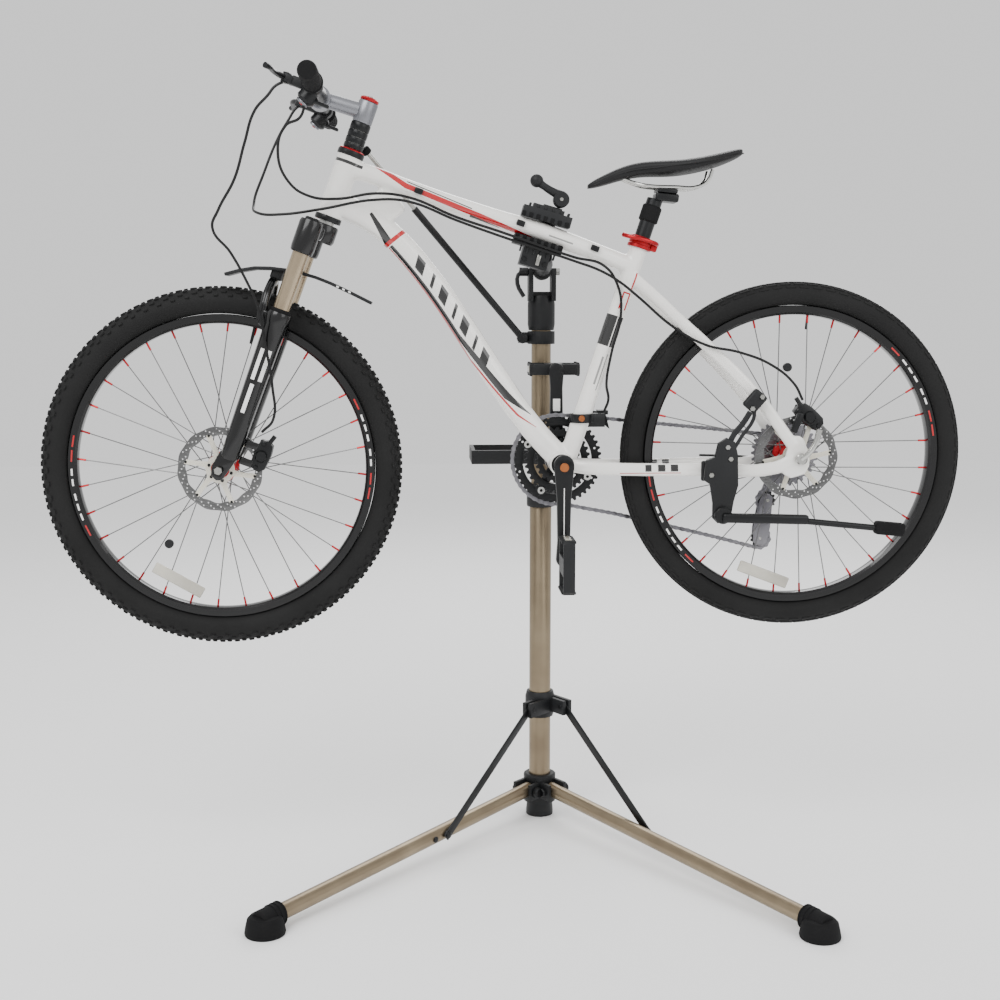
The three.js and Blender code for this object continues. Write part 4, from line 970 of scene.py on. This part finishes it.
fit(joined("bar_tube", [
    bar("bar_middle", (-87, -60, 202), (-87, 60, 202), 15.7, 40),
    bar("bar_left", (-87, -59, 202), (-87, -92, 202), 15.7, 40, 11.2),
    bar("bar_right", (-87, 59, 202), (-87, 92, 202), 15.7, 40, 11.2),
    bar("bar_ends", (-87, -322, 202), (-87, 322, 202), 11.1, 40)]), "front_end", black_satin,
    STEER, "handlebar")
for word, side in (("left", -1), ("right", 1)):
    rings = [(11.4, 195), (18, 195), (19, 197), (19, 201), (17, 203)]
    for i in range(26):
        rings += [(15.6, 205 + 4.4 * i), (16.8, 206 + 4.4 * i), (16.8, 208 + 4.4 * i)]
    rings += [(16, 322), (15, 325), (0, 325), (0, 323), (11.4, 322)]
    grip = turned(f"grip_moulding_{word}", [(r, side * y) for r, y in rings], 40, "Y", (-87, 0, 202),
                  angle=25)
    fit(grip, "front_end", soft_rubber, STEER, f"grip_{word}")
    perch = [turned("perch_ring", [(11.5, side * 141), (15, side * 141), (15.6, side * 143),
                                   (15.6, side * 158),
                                   (15, side * 160), (11.5, side * 160)], 40, "Y", (-87, 0, 202)),
             block("perch_body", (-110, side * 150, 198), (36, 20, 17), 0, 4, 3),
             block("perch_nose", (-132, side * 148, 198), (20, 26, 15), 0.2, 4, 3),
             turned("shifter_ring", [(11.5, side * 162), (15, side * 162), (15, side * 172),
                                     (11.5, side * 172)],
                    40, "Y", (-87, 0, 202))]
    fit(joined(f"perch_{word}", perch), "front_end", plastic, STEER, f"lever_perch_{word}")
    pod = bar(f"shifter_pod_{word}", (-95, side * 158, 170), (-85, side * 158, 192), 17, 40, bevel=4)
    fit(pod, "front_end", black_satin, STEER)
    fit(bar(f"pod_cap_{word}", (-97, side * 158, 165.5), (-95, side * 158, 170.4), 11, 32, bevel=1.5),
        "front_end", grey_metal, STEER)
    fit(bar(f"pod_mark_{word}", (-97.6, side * 158, 164), (-97, side * 158, 165.7), 3.4, 20, bevel=0.3),
        "front_end", red_print, STEER)
    fit(block(f"thumb_lever_{word}", (-70, side * 160, 176), (40, 15, 6), 0, 2.6, 3), "front_end", plastic,
        STEER)
    blade = drawn(f"blade_{word}", [(-137, side * 152, 198), (-150, side * 170, 197.4),
                                    (-155, side * 196, 196),
                                    (-155, side * 226, 194.6), (-157, side * 250, 193.4),
                                    (-162, side * 258, 193)], [6, 5.4, 4.6, 4.6, 4.8, 5.2], 20)
    hub_piece = bar("lever_pivot", (-137, side * 150, 189), (-137, side * 150, 207), 8, 24)
    fit(joined(f"brake_blade_{word}", [blade, hub_piece]), f"{word}_brake_lever", black_satin,
        STEER, f"brake_lever_{word}")
    fit(bar(f"lever_pin_{word}", (-137, side * 150, 187.5), (-137, side * 150, 208.6), 3, 12),
        f"{word}_brake_lever", steel, STEER)

# ---- Cranks, chainrings and pedals ----
# Forged black arms, three toothed black rings on four bolts with bright heads, and plastic
# cage pedals with toothed edges.


def toothed(name, centre, inner, root, tip, teeth, y, thick, holes=()):
    """A sprocket: pointed teeth round a flat ring."""
    edge = []
    for i in range(teeth):
        a = 2 * math.pi * i / teeth
        step = 2 * math.pi / teeth
        for part, r in ((-0.36, root), (-0.16, tip), (0.16, tip), (0.36, root)):
            edge.append((centre[0] + r * math.cos(a + part * step),
                         centre[1] + r * math.sin(a + part * step)))
    return plate(name, [edge, circle(centre, inner, 48), *holes], y - thick / 2, y + thick / 2, 0.25)


BOTTOM = (18, 777)
ramps = [circle((18 + 77 * math.cos(a), 777 + 77 * math.sin(a)), 2.2, 10)
         for a in [2 * math.pi * i / 8 + 0.3 for i in range(8)]]
rings = [toothed("outer_ring", BOTTOM, 68, 82.5, 88, 44, 55, 2.4, ramps),
         toothed("middle_ring", BOTTOM, 47, 60, 65, 32, 48, 2.4),
         toothed("inner_ring", BOTTOM, 30, 40, 44.5, 22, 40, 2.4)]
spider = []
for i in range(4):
    a = i * math.pi / 2 + 0.5
    spoke = block("spider_arm", (44, 59, 0), (60, 6, 17), 0, 2.4, 3)
    spoke.data.transform(Matrix.Translation((0.018, 0, 0.777)) @ Matrix.Rotation(a, 4, "Y"))
    spider.append(spoke)
    tab = block("ring_tab", (67, 55.6, 0), (12, 5, 22), 0, 1.5, 2)
    tab.data.transform(Matrix.Translation((0.018, 0, 0.777)) @ Matrix.Rotation(a, 4, "Y"))
    spider.append(tab)
spider.append(bar("spider_boss", (18, 42, 777), (18, 70, 777), 24, 40, bevel=2))
spider.append(bar("crank_axle", (18, -67, 777), (18, 70, 777), 12, 32))


def crank_arm(name, side, up):
    low_y, high_y = sorted((side * 70, side * 84))
    x, z, end = 18, 777, 777 + up * 175
    sign = 1 if up > 0 else -1
    outline = [(x - 19, z - sign * 4), (x - 17, z + sign * 20), (x - 13.5, z + sign * 60),
               (x - 12, z + sign * 140), (x - 14.5, end)]
    for k in range(1, 10):
        b = math.pi - math.pi * k / 10
        outline.append((x + 14.5 * math.cos(b), end + sign * 14.5 * math.sin(b)))
    outline += [(x + 14.5, end), (x + 12, z + sign * 140), (x + 13.5, z + sign * 60), (x + 17, z + sign * 20),
                (x + 19, z - sign * 4)]
    for k in range(1, 10):
        b = math.pi * k / 10
        outline.append((x + 19 * math.cos(b), z - sign * (4 + 19 * math.sin(b))))
    arm = plate(name, [outline], low_y, high_y, 3.0)
    boss = bar("boss", (x, low_y, z), (x, high_y + (2 if side > 0 else 0), z), 19, 40, bevel=2)
    return joined(name, [arm, boss])


fit(joined("crank_set", [*rings, *spider, crank_arm("right_arm", 1, 1)]), "cranks", black_satin,
    BIKE, "crankset")
fit(crank_arm("left_arm", -1, -1), "cranks", black_satin, BIKE, "crank_left")
# Copper-coloured anodised bolt: a warm spot of metal.
copper = finish_of("copper coloured bolt", "#B46E44", "#96562F", 0.3, 0.85, 0.05, 0.5)
bolts = []
for i in range(4):
    a = i * math.pi / 2 + 0.5
    x, z = 18 + 67 * math.cos(a), 777 - 67 * math.sin(a)
    bolts.append(turned("ring_bolt", [(3, 42), (7, 42), (7.6, 43), (7.6, 44), (5, 44.6), (5, 60), (7.4, 61),
                                      (7.4, 63.4), (3, 63.6)], 24, "Y", (x, 0, z)))
fit(joined("chainring_bolts", bolts), "cranks", chrome, BIKE)
fit(bar("left_crank_bolt", (18, -87.6, 777), (18, -84, 777), 8.5, 24, bevel=1), "cranks", copper,
    BIKE)
fit(bar("right_crank_bolt", (18, 84, 777), (18, 88.6, 777), 8.5, 24, bevel=1), "cranks", copper,
    BIKE)
fit(joined("arm_stripes", [block("stripe", (18, -84.1, 690), (1.6, 0.5, 96), 0, 0.15, 1),
                           block("stripe", (18, 69.9, 884), (14, 0.5, 24), 0, 0.15, 1)]), "cranks",
    white_print, BIKE)


def pedal_piece(name, side, up):
    parts = []
    outer = [(-50, -34), (-44, -40), (44, -40), (50, -34), (50, 34), (44, 40), (-44, 40), (-50, 34)]
    holes = [[(-44, -33), (-17, -35), (-17, 35), (-44, 33)], [(17, -35), (44, -33), (44, 33), (17, 35)]]
    cage = plate("cage", [outer, *holes], -11, 11, 1.6)
    cage.data.transform(Matrix.Rotation(math.pi / 2, 4, "X"))
    parts.append(cage)
    for x in (-47, 47):
        for y in range(-30, 31, 10):
            for z in (-11.5, 11.5):
                parts.append(block("tooth", (x, y, z), (5, 5, 4), 0, 1.0, 1))
    barrel = bar("barrel", (0, -38, 0), (0, 38, 0), 10, 24, bevel=2)
    parts.append(barrel)
    whole = joined(name, parts)
    turn = Matrix.Identity(4) if up > 0 else Matrix.Rotation(math.pi / 2, 4, "Y")
    whole.data.transform(Matrix.Translation((0.018, side * 0.140, (777 + up * 175) * MM)) @ turn)
    spindle = bar("spindle", (18, side * 86.5, 777 + up * 175), (18, side * 103, 777 + up * 175), 7, 20)
    return joined(name, [whole, spindle])


fit(pedal_piece("left_pedal_cage", -1, -1), "left_pedal", plastic, BIKE, "pedal_left")
fit(pedal_piece("right_pedal_cage", 1, 1), "right_pedal", plastic, BIKE, "pedal_right")
for word, side, up in (("left", -1, -1), ("right", 1, 1)):
    lens = []
    for x in (-50.4, 50.4):
        one = block("lens", (x, 0, 0), (1.4, 46, 12), 0, 0.5, 2)
        turn = Matrix.Identity(4) if up > 0 else Matrix.Rotation(math.pi / 2, 4, "Y")
        one.data.transform(Matrix.Translation((0.018, side * 0.140, (777 + up * 175) * MM)) @ turn)
        lens.append(one)
    fit(joined(f"{word}_pedal_lens", lens), f"{word}_pedal", clear_plastic, BIKE)

# ---- Cassette, chain and derailleurs ----
# Steel cogs on the freehub; a roller chain of plates and rollers, half an inch between pins.
HUB_AT = (467, 790)
# Oiled carbon steel: grey-brown and half bright.
chain_metal = finish_of("oiled chain steel", "#858488", "#66656A", 0.34, 0.9, 0.1, 0.5)
cogs = [toothed(f"cog_{teeth}", HUB_AT, 17, r - 3.6, r + 2.2, teeth, y, 1.8)
        for teeth, r, y in ((32, 64.8, 39.5), (28, 56.7, 43.0), (24, 48.6, 46.4), (21, 42.6, 49.8),
                            (18, 36.6, 53.2), (16, 32.5, 55.6), (13, 26.5, 59), (11, 22.5, 61.4))]
barrel = turned("freehub", [(16.5, 37.6), (20, 37.6), (20, 62.4), (16.5, 62.4)], 40, "Y", (467, 0, 790))
fit(joined("cassette_cogs", [*cogs, barrel]), "cogs", chain_metal, BIKE, "cassette")


def arc(centre, radius, start, end, count):
    return [Vector((centre[0] + radius * math.cos(math.radians(start + (end - start) * i / (count - 1))),
                    55,
                    centre[1] + radius * math.sin(math.radians(start + (end - start) * i / (count - 1)))))
            for i in range(count)]


run = (arc(BOTTOM, 88.5, 84, 262, 60) + [Vector((x, 55, z)) for x, z in
       ((30, 689.5), (80, 679.5), (130, 670), (205, 652), (280, 634.5), (350, 617), (400, 603.5))]
       + arc((424, 618), 20, -100, 20, 14) + arc((438, 694), 20, 200, 110, 10)
       + [Vector((442, 55, 726))] + arc(HUB_AT, 33, -130, 84, 40)
       + [Vector((x, 55, z)) for x, z in ((400, 829), (320, 837.5), (235, 846), (150, 854.5), (80, 861.5))])
lengths = [0.0]
closed_run = run + [run[0]]
for a, b in zip(closed_run, closed_run[1:]):
    lengths.append(lengths[-1] + (b - a).length)
link_count = 2 * round(lengths[-1] / 25.4)
pitch = lengths[-1] / link_count


def on_run(distance):
    distance %= lengths[-1]
    i = max(k for k in range(len(lengths)) if lengths[k] <= distance)
    i = min(i, len(closed_run) - 2)
    share = (distance - lengths[i]) / max(1e-6, lengths[i + 1] - lengths[i])
    return closed_run[i].lerp(closed_run[i + 1], share)


def link_side(name, half_gap):
    outline = []
    for k in range(9):
        b = math.radians(-90 + 180 * k / 8)
        outline.append((pitch / 2 + 4.1 * math.cos(b), 4.1 * math.sin(b)))
    outline.append((0, 3.0))
    for k in range(9):
        b = math.radians(90 + 180 * k / 8)
        outline.append((-pitch / 2 + 4.1 * math.cos(b), 4.1 * math.sin(b)))
    outline.append((0, -3.0))
    sides = [plate(name, [outline], s * half_gap - 0.5, s * half_gap + 0.5, 0.12) for s in (-1, 1)]
    pins = [bar("roller", (pitch / 2 * s, -half_gap, 0), (pitch / 2 * s, half_gap, 0), 3.4, 8, bevel=0.2)
            for s in ((-1, 1) if half_gap < 2.5 else ())]
    return joined(name, sides + pins)


patterns = [link_side("inner_link", 1.9), link_side("outer_link", 3.0)]
places = [[], []]
for i in range(link_count):
    a, b = on_run(i * pitch), on_run((i + 1) * pitch)
    middle = (a + b) / 2
    angle = -math.atan2(b.z - a.z, b.x - a.x)
    places[i % 2].append(Matrix.Translation(middle * MM) @ Matrix.Rotation(angle, 4, "Y"))
fit(joined("chain_links", [copies(p, w) for p, w in zip(patterns, places)]), "bicycle", chain_metal,
    BIKE, "chain")
cage_plates = []
cage_outline = [(448, 700), (440, 708), (430, 708), (422, 696), (411, 640), (410, 612), (416, 604),
                (430, 602),
                (438, 610), (444, 640)]
for y0 in (60.6, 47):
    cage_plates.append(plate("cage_plate", [cage_outline, circle((428, 656), 7, 16)], y0, y0 + 2.4, 0.5))
cage_plates += [bar("knuckle", (438, 62.6, 694), (438, 84, 694), 15, 32, bevel=3),
                bar("parallelogram", (452, 72, 744), (440, 78, 702), 9.5, 20, 11, bevel=2),
                bar("hanger_bolt", (455, 68, 752), (455, 84, 752), 10, 24, bevel=1.5)]
fit(joined("rear_derailleur_body", cage_plates), "bicycle", chain_metal, BIKE, "rear_derailleur")
for i, (x, z) in enumerate(((438, 694), (424, 618))):
    fit(toothed(f"pulley_{i}", (x, z), 3, 14.5, 18, 11, 55, 3), "bicycle", plastic, BIKE)
    fit(bar(f"pulley_bolt_{i}", (x, 46, z), (x, 64, z), 3.2, 12), "bicycle", steel, BIKE)
fit(moulded("front_derailleur_cage", "front_derailleur", 0.7, 2), "bicycle", black_satin,
    HERE,
    "front_derailleur")
fit(bar("derailleur_band_bolt", (seat_x(864) - 2, -27, 864), (seat_x(864) - 2, -21, 864), 6, 20,
        bevel=1), "bicycle",
    copper, BIKE)

# ---- Rear brake, kickstand and rear quick release ----
# A cast two-piston caliper; a nylon kickstand bracket bolted round the left stays, with a
# jointed aluminium leg and rubber foot; a plated steel quick release through the axle.
fit(caliper("rear_caliper_casting", (487, 868), math.radians(-52), -48), "bicycle", black_satin,
    BIKE, "rear_caliper")
fit(joined("rear_caliper_mount", [block("post", (462, -66, 858), (12, 14, 40), 0.35, 3, 3)]), "bicycle",
    black_satin, BIKE)
bracket = [plate("casting", [[(280, 752), (284, 790), (300, 796), (306, 822), (322, 832), (338, 824),
                              (344, 800),
                              (346, 742), (338, 712), (334, 688), (326, 674), (308, 670), (298, 680),
                              (298, 708),
                              (292, 744)]], -96, -82, 4),
           block("stay_block", (310, -75.4, 768), (64, 9, 38), 0, 3, 3),
           tube_along("link", [(324, -90, 812), (336, -90, 838), (352, -90, 858), (366, -90, 880)], 3, 5.5),
           tube_along("link_two", [(334, -90, 806), (352, -90, 836), (372, -90, 866), (374, -90, 884)],
                      3, 3.5),
           block("stay_clamp", (376, -82, 900), (30, 16, 40), 0.72, 5, 3)]
fit(joined("kickstand_bracket", bracket), "bicycle", plastic, BIKE, "kickstand_mount")
stand_leg = [bar("kick_hinge", (316, -105, 686), (316, -92, 686), 16, 40, bevel=2),
             block("kick_arm", (396, -104, 680), (164, 17, 18), 0.03, 5, 3),
             bar("kick_rod", (474, -104, 674.5), (614, -104, 660), 6, 24)]
fit(joined("kickstand_bar", stand_leg), "kickstand", black_satin, BIKE, "kickstand_leg")
fit(block("kickstand_foot", (634, -104, 659), (58, 24, 25), 0.1, 6, 3), "kickstand", soft_rubber,
    BIKE)
for x, z in ((324, 814), (330, 792), (294, 762), (316, 690), (370, 886), (388, 908)):
    fit(bar(f"kick_bolt_{x}_{z}", (x, -98.5 if z < 830 else -94.5, z), (x, -90, z), 5, 6, bevel=0.8),
        "bicycle",
        steel, BIKE)
quick = [bar("qr_nut", (467, -90, 790), (467, -80, 790), 11, 32, bevel=2),
         drawn("qr_lever", [(467, -86, 790), (477, -92, 800), (490, -94, 820), (498, -92, 846)],
               [6, 5.4, 5.2, 6], 16),
         bar("qr_far_nut", (467, 80, 790), (467, 92, 790), 9, 24, bevel=2)]
fit(joined("rear_quick_release", quick), "bicycle", chrome, BIKE)

# ---- Cables and hoses ----
# Black plastic-sleeved housing.
# Extruded plastic over spiral steel: smooth black with a long highlight.
housing = finish_of("black cable housing", "#101011", "#0A0A0B", 0.42, 0, 0.1, 0.8, specular=0.3)
def run_of(name, points, radius=2.6):
    piece = drawn(name, points, radius, 12, resolution=10)
    piece.data.transform(BIKE)
    return piece


front_hose = run_of("front_hose", [(-478, -148, 1465), (-498, -149, 1456), (-512, -148, 1440),
                                   (-536, -140, 1415), (-556, -132, 1360), (-575, -128, 1300),
                                   (-608, -110, 1245), (-620, -100, 1215), (-590, -92, 1172),
                                   (-562, -92, 1120),
                                   (-545, -92, 1080), (-530, -92, 1000), (-520, -92, 930), (-520, -90, 870),
                                   (-542, -78, 846)])
front_hose.data.materials.append(housing)
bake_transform(front_hose)
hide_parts("front_brake_hose")
rear_hose = run_of("rear_hose", [(-478, 148, 1465), (-490, 148, 1454), (-500, 146, 1438),
                                 (-520, 128, 1400), (-545, 90, 1330), (-560, 40, 1270),
                                 (-545, -20, 1246), (-500, -44, 1243), (-430, -50, 1252), (-330, -42, 1270),
                                 (-270, -31, 1268), (-180, -29, 1234), (-100, -29, 1206), (40, -29, 1160),
                                 (90, -29, 1142), (128, -31, 1120), (158, -34, 1096), (228, -48, 1036),
                                 (286, -60, 1004), (350, -66, 990), (411, -66, 966), (456, -62, 930),
                                 (474, -56, 900)])
rear_hose.data.materials.append(housing)
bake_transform(rear_hose)
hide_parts("rear_brake_hose")
shifters = run_of("shift_housing", [(-446, -160, 1428), (-456, -157, 1402), (-482, -142, 1390),
                                    (-500, -110, 1350), (-486, -70, 1300),
                                    (-450, -42, 1276), (-400, -34, 1272), (-330, -34, 1282),
                                    (-270, -29, 1276),
                                    (-180, -29, 1240), (-100, -29, 1214), (40, -29, 1167), (96, -25, 1152),
                                    (122, -23, 1118), (130, -23, 1062), (112, -23, 985), (104, -21, 930),
                                    (110, -6, 900), (106, 16, 877)])
shifters.data.materials.append(housing)
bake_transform(shifters)
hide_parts("shift_cables")
fit(run_of("rear_gear_housing", [(300, 52, 785), (360, 62, 782), (410, 76, 776), (452, 90, 756),
                                 (462, 92, 726),
                                 (448, 84, 706)], 2.4), "bicycle", housing)
